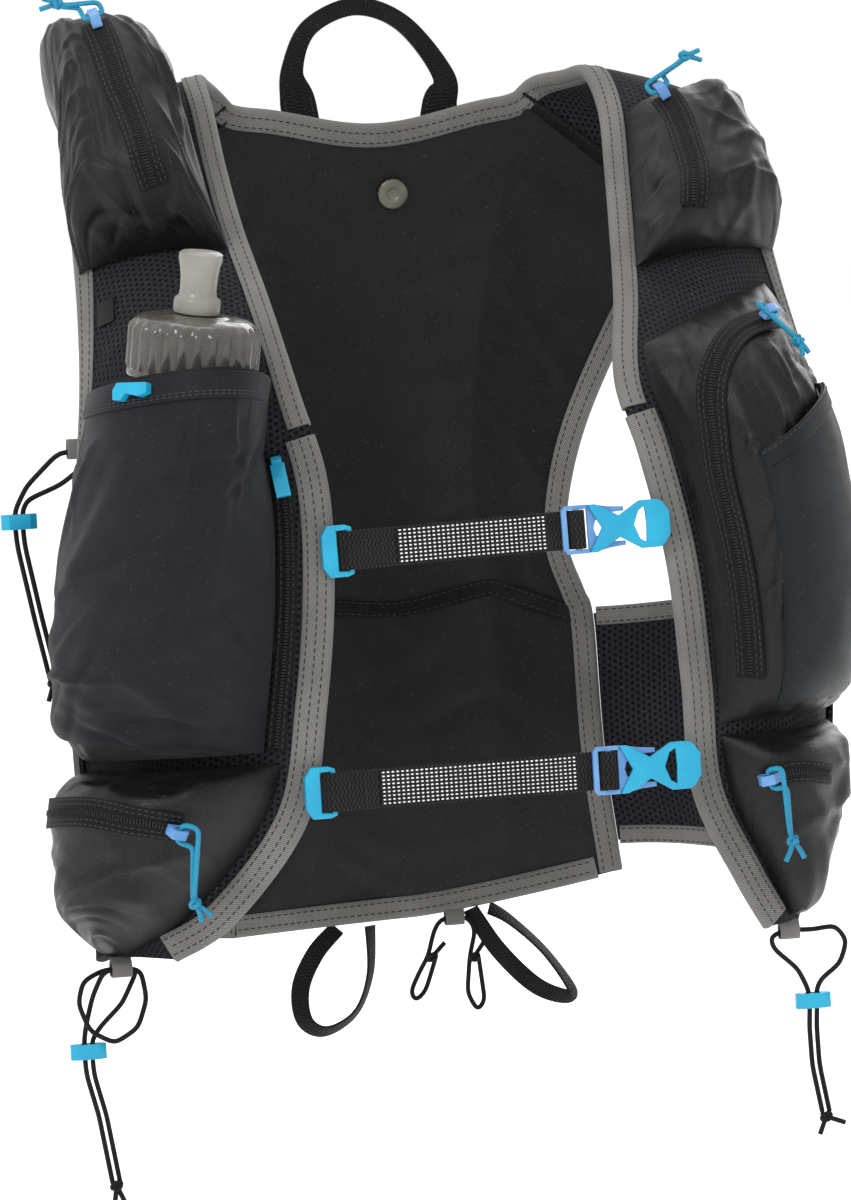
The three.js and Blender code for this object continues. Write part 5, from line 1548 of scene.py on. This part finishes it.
class Pockets:
    """Every pocket of the vest with its zip, slider and pull."""

    def __init__(self, finishes: Finishes) -> None:
        """Plans the pockets."""
        self.finishes = finishes
        down = np.pi / 2
        self.flask = Pocket("flask_pocket_cloth", "flask_pocket", FLASK_POCKET, finishes.pocket, "ripstop", (
            Creases(11, 50, (1.2, 2.4), (8, 24), down, 0.2, 2.0, 0.06, 0.4),
            Creases(12, 46, (2.6, 7), (24, 64), 0.6, 0.6, 3.2, 0.12, 2.0),
            Creases(13, 34, (1.8, 4.0), (18, 50), -0.25, 0.3, 4.5, 0.7, 2.0)), (200, 150))
        self.lower_left = Pocket("lower_pocket_left_cloth", "lower_pocket_left", LOWER_POCKET_LEFT,
                                 finishes.ripstop,
                                 "ripstop", (Creases(21, 60, (1.6, 5), (12, 42), 0.3, 0.7, 2.2),), (130, 120),
                                 ((0.15, 0.82), (0.14, 0.55), (0.18, 0.33), (0.22, 0.17)))
        self.chest = Pocket("chest_pocket_cloth", "chest_pocket", CHEST_POCKET, finishes.ripstop, "ripstop", (
            Creases(31, 90, (1.3, 3.6), (12, 46), down, 0.35, 2.1),
            Creases(32, 90, (0.9, 2.2), (6, 20), 0.4, 0.9, 1.3)), (190, 150),
                            ((0.11, 0.7), (0.1, 0.45), (0.14, 0.28), (0.24, 0.17), (0.42, 0.11), (0.58, 0.1),
                             (0.75, 0.1), (0.9, 0.1)))
        self.stretch = Pocket("stretch_pocket_cloth", "stretch_pocket", STRETCH_POCKET, finishes.stretch,
                              "ripstop",
                              (Creases(41, 16, (4, 9), (20, 50), down, 0.4, 0.7),), (90, 70))
        self.lower_right = Pocket("lower_pocket_right_cloth", "lower_pocket_right", LOWER_POCKET_RIGHT,
                                  finishes.ripstop, "ripstop",
                                  (Creases(51, 50, (1.6, 4.5), (10, 36), 0.3, 0.7, 1.9),),
                                  (100, 90), ((0.16, 0.12), (0.14, 0.28), (0.17, 0.5)), ZIP_WIDTH * 0.7)
        self.shoulder_left = Pocket("shoulder_pocket_left_cloth", "shoulder_pocket_left",
                                    SHOULDER_POCKET_LEFT,
                                    finishes.ripstop, "ripstop", (
                                        Creases(61, 60, (1.8, 5), (14, 48), down, 0.5, 2.2),
                                        Creases(62, 60, (1.0, 2.6), (8, 26), 0.3, 0.7, 1.4)), (170, 140),
                                    ((0.24, 0.53), (0.49, 0.48), (0.74, 0.37), (0.93, 0.32)))
        self.shoulder_right = Pocket("shoulder_pocket_right_cloth", "shoulder_pocket_right",
                                     SHOULDER_POCKET_RIGHT,
                                     finishes.ripstop, "ripstop", (
                                         Creases(71, 54, (1.8, 4.5), (12, 42), down, 0.5, 1.9),
                                         Creases(72, 46, (1.0, 2.6), (8, 24), 0.3, 0.7, 1.3)), (150, 130),
                                     ((0.12, 0.2), (0.36, 0.24), (0.67, 0.25), (0.92, 0.24)))
        self.back = Pocket("back_pocket_cloth", "back_pocket", BACK_POCKET, finishes.pocket, "ripstop", (
            Creases(81, 90, (3, 8), (26, 90), down, 0.6, 2.4),), (170, 150))

    def hems(self) -> None:
        """The folded mouths of the flask pocket, with two stitched rows, and of the stretch pocket, with one.
        """
        made, thread = Made(), Made()
        across = np.linspace(0.03, 0.97, 110)
        frames = band_on(FLASK_POCKET, np.full(110, 0.035), across, 0.55)
        made.swept(carry(frames, rounded(10, 1.0, 0.4)))
        stitch(thread, frames, 3.6, 0.6, 2.6)
        stitch(thread, frames, 2.4, 0.6, 2.6)
        seated(made.build("flask_pocket_hem", self.finishes.pocket), "ripstop")
        made = Made()
        frames = band_on(STRETCH_POCKET, np.full(110, 0.03), across, 0.5)
        made.swept(carry(frames, rounded(7, 0.9, 0.35)))
        stitch(thread, frames, 2.2, 0.55, 2.6)
        seated(made.build("stretch_pocket_hem", self.finishes.stretch), "ripstop")
        seated(thread.build("pocket_hem_thread", self.finishes.pale_thread), "ripstop")

    def flask_zip(self) -> Frames:
        """The straight zip on the cloth between the left rail and the flask pocket."""
        rows = np.linspace(8.75, 11.4, 70)
        width = np.linalg.norm(LEFT.at(rows, rows * 0) - LEFT.at(rows, rows * 0 + 1), axis=-1)
        return band_on(LEFT, rows, (BY_RAIL + FINE_ZIP_WIDTH / 2) / width, ON_CLOTH + ZIP_THICKNESS / 2)

    def make(self) -> None:
        """Builds the pockets, then their zips and pulls."""
        for pocket in (self.flask, self.lower_left, self.chest, self.stretch, self.lower_right,
                       self.shoulder_left,
                       self.shoulder_right, self.back):
            pocket.shell()
        self.hems()
        zips, pulls = Zip(self.finishes), Pulls(self.finishes)
        zips.make("flask_zip", "zip_flask_pocket", self.flask_zip(), FINE_ZIP_WIDTH)
        plans = (
            (self.shoulder_left, PullPlan("shoulder_left", 0.04, (-14, 3, 6), ((-6, -2, 2), (-7, 1, -2)))),
            (self.shoulder_right, PullPlan("shoulder_right", 0.06, (10, -2, 13), ((6, 0, 2), (7, 1, -2)))),
            (self.lower_left, PullPlan("lower_left", 0.96, (4, -5, -27), ((6, 0, -5), (2, -1, -7)))),
            (self.chest, PullPlan("chest", 0.04, (8, -9, -12), ((1, -2, -6), (4, 0, -5)))),
            (self.lower_right, PullPlan("lower_right", 0.1, (7, -5, -24), ((-3, 1, -8), (4, -1, -7)))),
        )
        for pocket, plan in plans:
            zips.make(f"{plan.name}_zip", f"zip_{plan.name}", pocket.zip_frames(), pocket.zip_width)
            pulls.make(plan, pocket)
        moulded("flask_zip_slider", "slider_flask_pocket", self.finishes.blue, "bright_trim", 0.35)


@dataclass
class Flask:
    """The soft flask: its film body, ribbed cap and bite valve, turned about one leaning axis."""

    finishes: Finishes
    cap_radius: float = 25.3
    cap_height: float = 25.0
    valve_radius: float = 9.0
    ribs: int = 26
    rib_depth: float = 0.7
    side_points: int = 8

    def __post_init__(self) -> None:
        """Places the foot of the cap over the panel."""
        self.axis = unit(np.array([0.11, -0.148, 0.98]))
        above = LEFT.off(np.array(7.96), np.array(0.34), PADDING / 2 + GAP + self.cap_radius + 1)
        self.foot = above - self.axis * self.cap_height / 2

    def turned(self, profile: Array, start: float, sides: int, ribbed: Array | None = None,
               ribs: int = 0) -> Made:
        """Rings about the axis. A ribbed ring's radius swells with the cosine of ribs times the angle.

        Args:
            profile: Radius and height of each ring.
            start: Height of the first ring over the foot of the cap.
            sides: Points on a ring.
            ribbed: Depth of the ribs at each ring.
            ribs: Number of ribs.

        Returns:
            The mesh in the making.
        """
        angle = np.linspace(0, 2 * np.pi, sides, endpoint=False)
        side = unit(np.cross(self.axis, [0.0, 1.0, 0.0]))
        other = np.cross(self.axis, side)
        radius = profile[:, :1] * np.ones(sides)
        if ribbed is not None:
            radius = radius + ribbed[:, None] * np.clip(np.cos(ribs * angle) * 1.6, -1, 1)
        ring = radius[..., None] * (np.cos(angle)[None, :, None] * side + np.sin(angle)[None, :,
                                                                                        None] * other)
        made = Made()
        made.swept(self.foot + ring + (profile[:, 1] + start)[:, None, None] * self.axis)
        return made

    def make(self) -> None:
        """Builds the flask's pieces."""
        moulded("flask_film", "flask_body", self.finishes.flask, "clear_plastic", 0, 2)
        r, h = self.cap_radius, self.cap_height
        profile = np.array([[r - 1.6, 0], [r - 0.7, 0.15], [r - 0.25, 0.8], [r - 0.25, 2.2], [r - 0.6, 2.8],
                            [r - 0.6, 3.4],
                            [r - 0.4, 4.2], [r - 0.4, h - 6.4], [r - 0.7, h - 5.2], [r - 1.6, h - 4.0],
                            [r - 2.8, h - 2.4],
                            [r - 5, h - 1.4], [self.valve_radius + 5, h - 0.6],
                            [self.valve_radius + 3.4, h - 0.3],
                            [self.valve_radius + 3, h], [self.valve_radius + 0.6, h]])
        depth = np.zeros(len(profile))
        depth[6:9] = self.rib_depth
        depth[5] = depth[9] = 0.2
        cap = self.turned(profile, 0, self.ribs * self.side_points, depth, self.ribs)
        seated(cap.build("flask_cap_ribbed", self.finishes.cap, 50), "clear_plastic", "flask_cap")
        v = self.valve_radius
        shape = np.array([[v * 0.8, 0], [v * 0.97, 0.3], [v, 1], [v, 5], [v * 0.97, 5.8], [v * 0.82, 6.8],
                          [v * 0.78, 9],
                          [v * 0.8, 14], [v * 0.86, 18], [v * 0.94, 21], [v * 0.93, 23], [v * 0.8, 23.8],
                          [v * 0.42, 24], [v * 0.34, 23.2], [v * 0.3, 22]])
        valve = self.turned(shape, h + GAP, 96)
        seated(valve.build("bite_valve", self.finishes.valve, 50), "clear_plastic", "flask_valve")
        moulded("flask_mouth_hook", "mouth_hook", self.finishes.blue, "bright_trim", 0.5)


class Straps:
    """The two sternum straps: dotted webbing, a clip on the left rail and a buckle on the right one."""

    def __init__(self, finishes: Finishes) -> None:
        """Keeps the finishes."""
        self.finishes = finishes

    def frame(self, left_down: float, right_down: float) -> tuple[Array, Array, float]:
        """The strap's own axes as rows, its start and its length.

        Args:
            left_down: Section number on the left rail.
            right_down: Section number on the right rail.

        Returns:
            Axes, start and length.
        """
        def seat(surface: FrontSurface, down: float) -> Array:
            """A place in front of the rail, clear of its nearest point."""
            rows = np.array([down - 0.25, down, down + 0.25])
            near = surface.off(rows, rows * 0, TAPE_TOP)[:, 1].min()
            at = surface.at(np.array(down), np.array(0.0))
            return np.array([at[0], near - 0.2 - GAP - CLIP_THICKNESS / 2, at[2]])

        start, end = seat(LEFT, left_down), seat(RIGHT, right_down)
        length = float(np.linalg.norm(end - start))
        along = (end - start) / length
        up = unit(np.array([0.0, 0.0, 1.0]) - along * along[2])
        return np.stack([along, np.cross(up, along), up]), start, length

    def make(self, name: str, left_down: float, right_down: float) -> None:
        """Builds one strap.

        Args:
            name: Upper or lower.
            left_down: Section number on the left rail.
            right_down: Section number on the right rail.
        """
        axes, origin, length = self.frame(left_down, right_down)
        start = length - BUCKLE_REACH
        path = np.array([
            [24, -1], [9, -2.5], [5.2, -2.5], [3.2, 0], [5.2, 2.5], [9, 2.5], [24, 0.4], [start - 17, 0.4],
            [start - 2, 1.9], [start + 2.4, 1.9], [start + 3.6, 0], [start + 4.8, -1.9], [start + 7.6, -1.9],
            [start + 8.9, -0.3], [start + 9, 1.6], [start + 7.6, 3.3], [start + 2.4, 3.4], [start - 2, 3.4],
            [start - 15, 2.2]])
        local = eased(np.stack([path[:, 0], path[:, 1], np.zeros(len(path))], -1), 0.6, 0.8)
        points = local @ axes + origin
        along = unit(np.gradient(points, axis=0))
        side = np.broadcast_to(axes[2], points.shape)
        frames = Frames(points, along, np.cross(along, side), side)
        made, dots, thread = Made(), Made(), Made()
        made.swept(carry(frames, rounded(WEBBING, WEBBING_THICKNESS, 0.42)))
        seated(made.build(f"sternum_webbing_{name}", self.finishes.webbing), "webbing",
               f"sternum_strap_{name}")
        run = (local[:, 0] > 25) & (local[:, 0] < start - 5) & (local[:, 1] > 0) & (local[:, 1] < 1.95)
        main = Frames(*(values[run] for values in (frames.at, frames.along, frames.out, frames.side)))
        form, quads = bead((0.62, 0.2, 1.05))
        for place in np.linspace(-6.0, 6.0, 9):
            dots.scattered(form, quads, spaced(shifted(main, place, WEBBING_THICKNESS / 2), 1.9, 1.5))
        seated(dots.build(f"sternum_dots_{name}", self.finishes.dots), "webbing")
        fold_run = (np.arange(len(local)) < 60) & (local[:, 0] > 12) & (local[:, 0] < 24)
        tail = Frames(*(values[fold_run] for values in (frames.at, frames.along, frames.out, frames.side)))
        across = np.linspace(-6.2, 6.2, 14)
        lift = WEBBING_THICKNESS / 2 + 0.15
        for turn in (0.3, 0.8):
            spot = int(turn * (len(tail.at) - 1))
            line = tail.at[spot] + across[:, None] * axes[2] - lift * tail.out[spot]
            stitch(thread, frames_by(line, -tail.out[spot]), 0, 0, 1.6)
        seated(thread.build(f"sternum_thread_{name}", self.finishes.thread), "webbing")
        moulded(f"clip_{name}", f"strap_clip_{name}", self.finishes.blue, "bright_trim", 0.5)
        moulded(f"buckle_ring_{name}", f"buckle_male_{name}", self.finishes.sky, "pale_trim", 0.35)
        moulded(f"buckle_plate_{name}", f"buckle_female_{name}", self.finishes.blue, "bright_trim", 0.35)


class Loops:
    """The haul loop and the webbing loops on the hem."""

    def __init__(self, finishes: Finishes) -> None:
        """Keeps the finishes."""
        self.finishes = finishes

    def plane(self, across: Array, up: Array, depth: float, flat: bool) -> Frames:
        """Frames in a plane of even depth, the webbing's width in that plane or square to it.

        Args:
            across: Millimetres to the right along the path.
            up: Millimetres up.
            depth: The plane's y.
            flat: Whether the width lies in the plane.

        Returns:
            The frames.
        """
        points = np.stack([across, np.full_like(across, depth), up], -1)
        along = unit(np.gradient(points, axis=0))
        back = np.broadcast_to(np.array([0.0, 1.0, 0.0]), points.shape)
        over = unit(np.cross(back, along))
        if flat:
            return Frames(points, along, back, over)
        turn = (0.75 + 0.3 * np.sin(np.linspace(0, 2 * np.pi, len(across))))[:, None]
        side = np.cos(turn) * back + np.sin(turn) * over
        return Frames(points, along, np.cos(turn) * over - np.sin(turn) * back, side)

    def haul_loop(self) -> None:
        """The grab loop, its webbing folded narrow round the arch, with two rows of stitches on each face of
        its feet.
        """
        path = np.array([
            [-29.5, -22, 1, 1], [-31.5, -8, 1, 1], [-33, 5, 0.62, 2], [-25, 22, 0.5, 3], [-5, 30, 0.5, 3],
            [15, 22, 0.5, 3], [31, 0, 0.62, 2], [29, -12, 1, 1], [26, -28, 1, 1]])
        fine = through(path, np.linspace(0, 8, 120))
        depth = float(BACK.at(np.array(0.5), np.array(0.3))[1]) + TAPE_TOP + GAP + WEBBING_THICKNESS * 1.5
        frames = self.plane(fine[:, 0], fine[:, 1], depth, True)
        made, thread = Made(), Made()
        made.swept(carry(frames, rounded(WEBBING, WEBBING_THICKNESS, 0.4), fine[:, 2], fine[:, 3]))
        seated(made.build("haul_loop_webbing", self.finishes.black_webbing), "webbing", "haul_loop")
        for part in (slice(2, 18), slice(102, 118)):
            leg = Frames(*(values[part] for values in (frames.at, frames.along, frames.out, frames.side)))
            for face in (-1, 1):
                for place in (-5.5, 5.5):
                    stitch(thread, leg, place, face * (WEBBING_THICKNESS / 2 + 0.15), 2.2)
        seated(thread.build("haul_loop_thread", self.finishes.pale_thread), "webbing")

    def hem_loop(self, side: str, across: float, turns: list[list[float]]) -> None:
        """A loop of narrow webbing hanging from the hem.

        Args:
            side: Left or right.
            across: Where its root is on the hem.
            turns: Turning points, across and down from the root.
        """
        root = BACK.at(np.array(9.0), np.array(across)) - [0, 0, TAPE_EDGE + 2 * GAP]
        fine = through(np.array(turns, float), np.linspace(0, len(turns) - 1, 110))
        frames = self.plane(root[0] + fine[:, 0], root[2] - fine[:, 1], float(root[1]), False)
        made = Made()
        made.swept(carry(frames, rounded(NARROW_WEBBING, WEBBING_THICKNESS, 0.4)))
        seated(made.build(f"hem_loop_{side}", self.finishes.black_webbing), "webbing", f"webbing_loop_{side}")

    def make(self) -> None:
        """Builds the loops."""
        self.haul_loop()
        self.hem_loop("left", 0.33, [[-3, 0], [-13, 10], [-20, 24], [-19, 38], [-10, 43], [3, 36], [10, 20],
                                     [11, 0]])
        self.hem_loop("right", 0.66, [[-3, 0], [8, 18], [23, 34], [36, 40], [39, 37], [28, 20], [14, 6], [5,
                                                                                                          0]])


@dataclass(frozen=True)
class CordPlan:
    """An elastic cord: its route between knots, where it passes its tab, its knots and their tails."""

    name: str
    node: str
    route: tuple[tuple[float, float, float], ...]
    split: int
    knots: tuple[tuple[float, float, float], ...]
    tails: tuple[tuple[tuple[float, float, float], tuple[float, float, float]], ...]
    lock: str = ""


CORD_PLANS = (
    CordPlan("hem_cord_left", "left_hem_cord", (
        (-156.5, -90, -432), (-160.5, -90, -405), (-164.4, -90, -389), (-164.7, -90, -384),
        (-164.7, -90, -375),
        (-163.6, -90.2, -369), (-160.6, -91, -358), (-156.2, -93.6, -348.2), (-148.9, -93.8, -347.5),
        (-141.4, -94, -348.6), (-139.8, -95, -360), (-144, -96, -371), (-153.6, -96.4, -376.4),
        (-163, -96, -371),
        (-167, -95, -360), (-164.4, -93, -351.6), (-156.6, -90.8, -348.2), (-148.9, -90.8, -347.5),
        (-142, -90, -348.6), (-148.5, -87.6, -362), (-157.5, -88.6, -370), (-161.7, -90, -375),
        (-161.7, -90, -384),
        (-161.4, -90, -389), (-157.5, -90, -405), (-153.5, -90, -432)), 8, ((-155, -90, -433),),
        (((-155, -90, -433), (-156.2, -90, -441)), ((-155, -90, -433), (-151.8, -90, -440.4))),
        "cord_lock_left"),
    CordPlan("hem_cord_right", "right_hem_cord", (
        (129.2, -103, -425), (126, -103, -406), (125.6, -103, -390), (126.1, -103, -384), (126.1, -103, -376),
        (122, -103, -367), (112, -104, -358), (110.6, -105, -353), (118.3, -105.4, -350.8),
        (128, -105, -351.5),
        (138, -104, -350.6), (142.8, -103, -357), (139.6, -103, -366), (131, -103, -372), (129.1, -103, -376),
        (129.1, -103, -384), (128.6, -103, -390), (129, -103, -406), (132.2, -103, -425)), 8,
        ((130.7, -103, -427),),
        (((130.7, -103, -427), (138.4, -103, -430)), ((130.7, -103, -427), (127.8, -103, -434))),
        "cord_lock_right"),
    CordPlan("side_cord_left", "side_cord", (
        (-167, -68, -234), (-171.6, -68, -211), (-176.6, -66.4, -182), (-177, -66, -176), (-177, -66, -167.4),
        (-172, -67, -158), (-160, -72.6, -145.8), (-153.5, -73, -144.9), (-147.4, -72, -146.6),
        (-150, -68, -152),
        (-158, -66, -158), (-172, -66, -163.4), (-174, -66, -167.6), (-174, -66, -176), (-173.6, -66.4, -182),
        (-168.6, -68, -211), (-164, -68, -234)), 7, ((-165.5, -68, -235.4),),
        (((-165.5, -68, -235.4), (-168, -68, -243)), ((-165.5, -68, -235.4), (-162.8, -68, -243.6))),
        "cord_lock_side"),
    CordPlan("back_hem_cord", "back_cord", (
        (9, 59.9, -370.5), (4, 59.9, -384), (-0.5, 59.9, -388), (-2.6, 59.9, -384), (1.6, 59.9, -376),
        (6, 59.9, -369), (8.6, 59.9, -359.6), (11.4, 59.9, -354.4), (17.9, 59.9, -353.4),
        (24.4, 59.9, -354.4),
        (26.8, 59.9, -359.6), (23.8, 59.9, -370.6), (22, 59.9, -386), (26, 59.9, -394), (29.4, 59.9, -390),
        (27.6, 59.9, -371)), 8, ((7.5, 60, -369.8), (25.7, 60, -371)),
        (((7.5, 60, -369.8), (13.4, 60, -364)), ((25.7, 60, -371), (31, 60, -364)))),
)


class Cords:
    """The elastic cords: each leaves its tab both ways and runs down through a lock to its knot."""

    def __init__(self, finishes: Finishes) -> None:
        """Keeps the finishes."""
        self.finishes = finishes

    def make(self, plan: CordPlan) -> None:
        """Builds one cord as two strands from the tab, with its knots, tails and lock."""
        ends = Made()
        for at in plan.knots:
            knot(ends, np.array(at, float), CORD_KNOT / 2 * 0.92, np.array([0.1, 0.0, -0.995]))
        for tail in plan.tails:
            ends.swept(tube(eased(np.array(tail, float), 0.6, 1.0), ELASTIC_CORD / 2, 12))
        with_pieces = [seated(ends.build(f"{plan.name}_knot", self.finishes.cord), "cord", plan.node)]
        if plan.lock:
            with_pieces.append(moulded(f"{plan.lock}_body", plan.lock, self.finishes.blue, "bright_trim",
                                       0.6))
        route = np.array(plan.route, float)
        for label, part in (("a", route[plan.split::-1]), ("b", route[plan.split:])):
            line = eased(part, 1.0, 2.2)
            made = Made()
            made.swept(tube(line, ELASTIC_CORD / 2, 12))
            piece = seated(made.build(f"{plan.name}_{label}", self.finishes.cord), "cord", plan.node)


class Trims:
    """The blank satin tab by the flask and the snap disc on the liner."""

    def __init__(self, finishes: Finishes) -> None:
        """Keeps the finishes."""
        self.finishes = finishes

    def make(self) -> None:
        """Builds the tab and the disc."""
        width = float(np.linalg.norm(LEFT.at(np.array(7.07), np.array(0.0)) - LEFT.at(np.array(7.07),
                                                                                      np.array(1.0))))
        rows = np.linspace(6.9, 7.25, 14)
        frames = band_on(LEFT, rows, np.full(14, 1 - (BY_BINDING + 5) / width), ON_CLOTH + 0.5)
        made = Made()
        made.swept(carry(frames, rounded(8, 0.8, 0.3)))
        seated(made.build("blank_tab", self.finishes.tab), "zip_tape", "size_tab")
        moulded("snap_disc_metal", "snap_disc", self.finishes.metal, "snap_metal", 0.15)


class Studio:
    """The camera at the photograph's angle, soft lights and a flat pale floor."""

    target = np.array([0.0, 0.0, -216.0])
    distance = 2500.0
    toward = np.array([-0.2076, -0.9768, 0.0523])
    right = np.array([0.9781, -0.2079, 0.0])
    up = np.array([0.0109, 0.0512, 0.9986])
    lens = 182.9
    roll = 0.0523
    floor_half = 40.0
    floor_height = -0.447

    def camera(self) -> None:
        """The camera, with its small roll about the viewing line."""
        over = unit(self.right - self.roll * self.up)
        above = unit(self.up + self.roll * self.right)
        data = bpy.data.cameras.new("camera")
        data.lens, data.sensor_width, data.sensor_fit = self.lens, 36.0, "AUTO"
        data.clip_end = 50
        made = bpy.data.objects.new("camera", data)
        place = (self.target + self.toward * self.distance) * MM
        made.matrix_world = Matrix((
            (over[0], above[0], self.toward[0], place[0]), (over[1], above[1], self.toward[1], place[1]),
            (over[2], above[2], self.toward[2], place[2]), (0, 0, 0, 1)))
        bpy.context.scene.collection.objects.link(made)
        bpy.context.scene.camera = made

    def light(self, name: str, place: tuple[float, float, float], size: float, power: float) -> None:
        """A soft square light aimed at the vest.

        Args:
            name: Name of the light.
            place: Where it is, in metres.
            size: Length of a side.
            power: Its power in watts.
        """
        data = bpy.data.lights.new(name, "AREA")
        data.shape, data.size, data.energy = "SQUARE", size, power
        made = bpy.data.objects.new(name, data)
        made.location = place
        aim = Vector(self.target * MM) - Vector(place)
        made.rotation_euler = aim.to_track_quat("-Z", "Y").to_euler()
        bpy.context.scene.collection.objects.link(made)

    def floor(self) -> None:
        """A pale floor below the vest, wide enough to be under it from every side."""
        side = np.linspace(-self.floor_half, self.floor_half, 5)
        x, y = np.meshgrid(side, side, indexing="ij")
        points = np.stack([x, y, np.full_like(x, self.floor_height)], -1)
        at = np.arange(25).reshape(5, 5)
        quads = np.stack([at[:-1, :-1], at[1:, :-1], at[1:, 1:], at[:-1, 1:]], -1).reshape(-1, 4)
        mesh = bpy.data.meshes.new("floor")
        mesh.from_pydata(points.reshape(-1, 3).tolist(), [], quads.tolist())
        shader = Shader("pale_floor")
        shader.feed(shader.main.inputs["Base Color"],
                    shader.mixed(shader.noise(2), tone("f4f5f6"), tone("fafafa")))
        shader.main.inputs["Roughness"].default_value = 0.9
        shader.main.inputs["Emission Color"].default_value = (1.0, 1.0, 1.0, 1.0)
        shader.main.inputs["Emission Strength"].default_value = 0.3
        mesh.materials.append(shader.material)
        mesh.shade_smooth()
        made = bpy.data.objects.new("floor", mesh)
        bpy.context.scene.collection.objects.link(made)

    def make(self) -> None:
        """Sets up the camera, the world, the lights and the floor."""
        self.camera()
        world = bpy.data.worlds.new("soft_world")
        world.use_nodes = True
        back = world.node_tree.nodes["Background"]
        back.inputs["Color"].default_value = (1.0, 1.0, 1.0, 1.0)
        back.inputs["Strength"].default_value = 1.0
        bpy.context.scene.world = world
        self.light("key", (-1.8, -2.2, 1.9), 1.1, 48)
        self.light("back", (1.6, 2.4, 1.2), 1.6, 22)
        self.light("top", (0.2, 0.4, 2.4), 1.4, 16)
        self.floor()


def main() -> None:
    """Builds the vest in order."""
    logging.basicConfig(level=logging.INFO, format="%(name)s %(message)s")
    bpy.context.scene.view_settings.view_transform = "Standard"
    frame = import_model()
    LOG.info("%d solids", len(frame["nodes"]))
    Studio().make()
    finishes = Finishes()
    cords = Cords(finishes)
    for plan in CORD_PLANS:
        cords.make(plan)
    Panels(finishes).make()
    Tapes(finishes).make()
    Pockets(finishes).make()
    Flask(finishes).make()
    straps = Straps(finishes)
    straps.make("upper", 9.7, 9.65)
    straps.make("lower", 11.75, 11.72)
    Loops(finishes).make()
    Trims(finishes).make()
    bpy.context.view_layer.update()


if __name__ == "__main__":
    main()
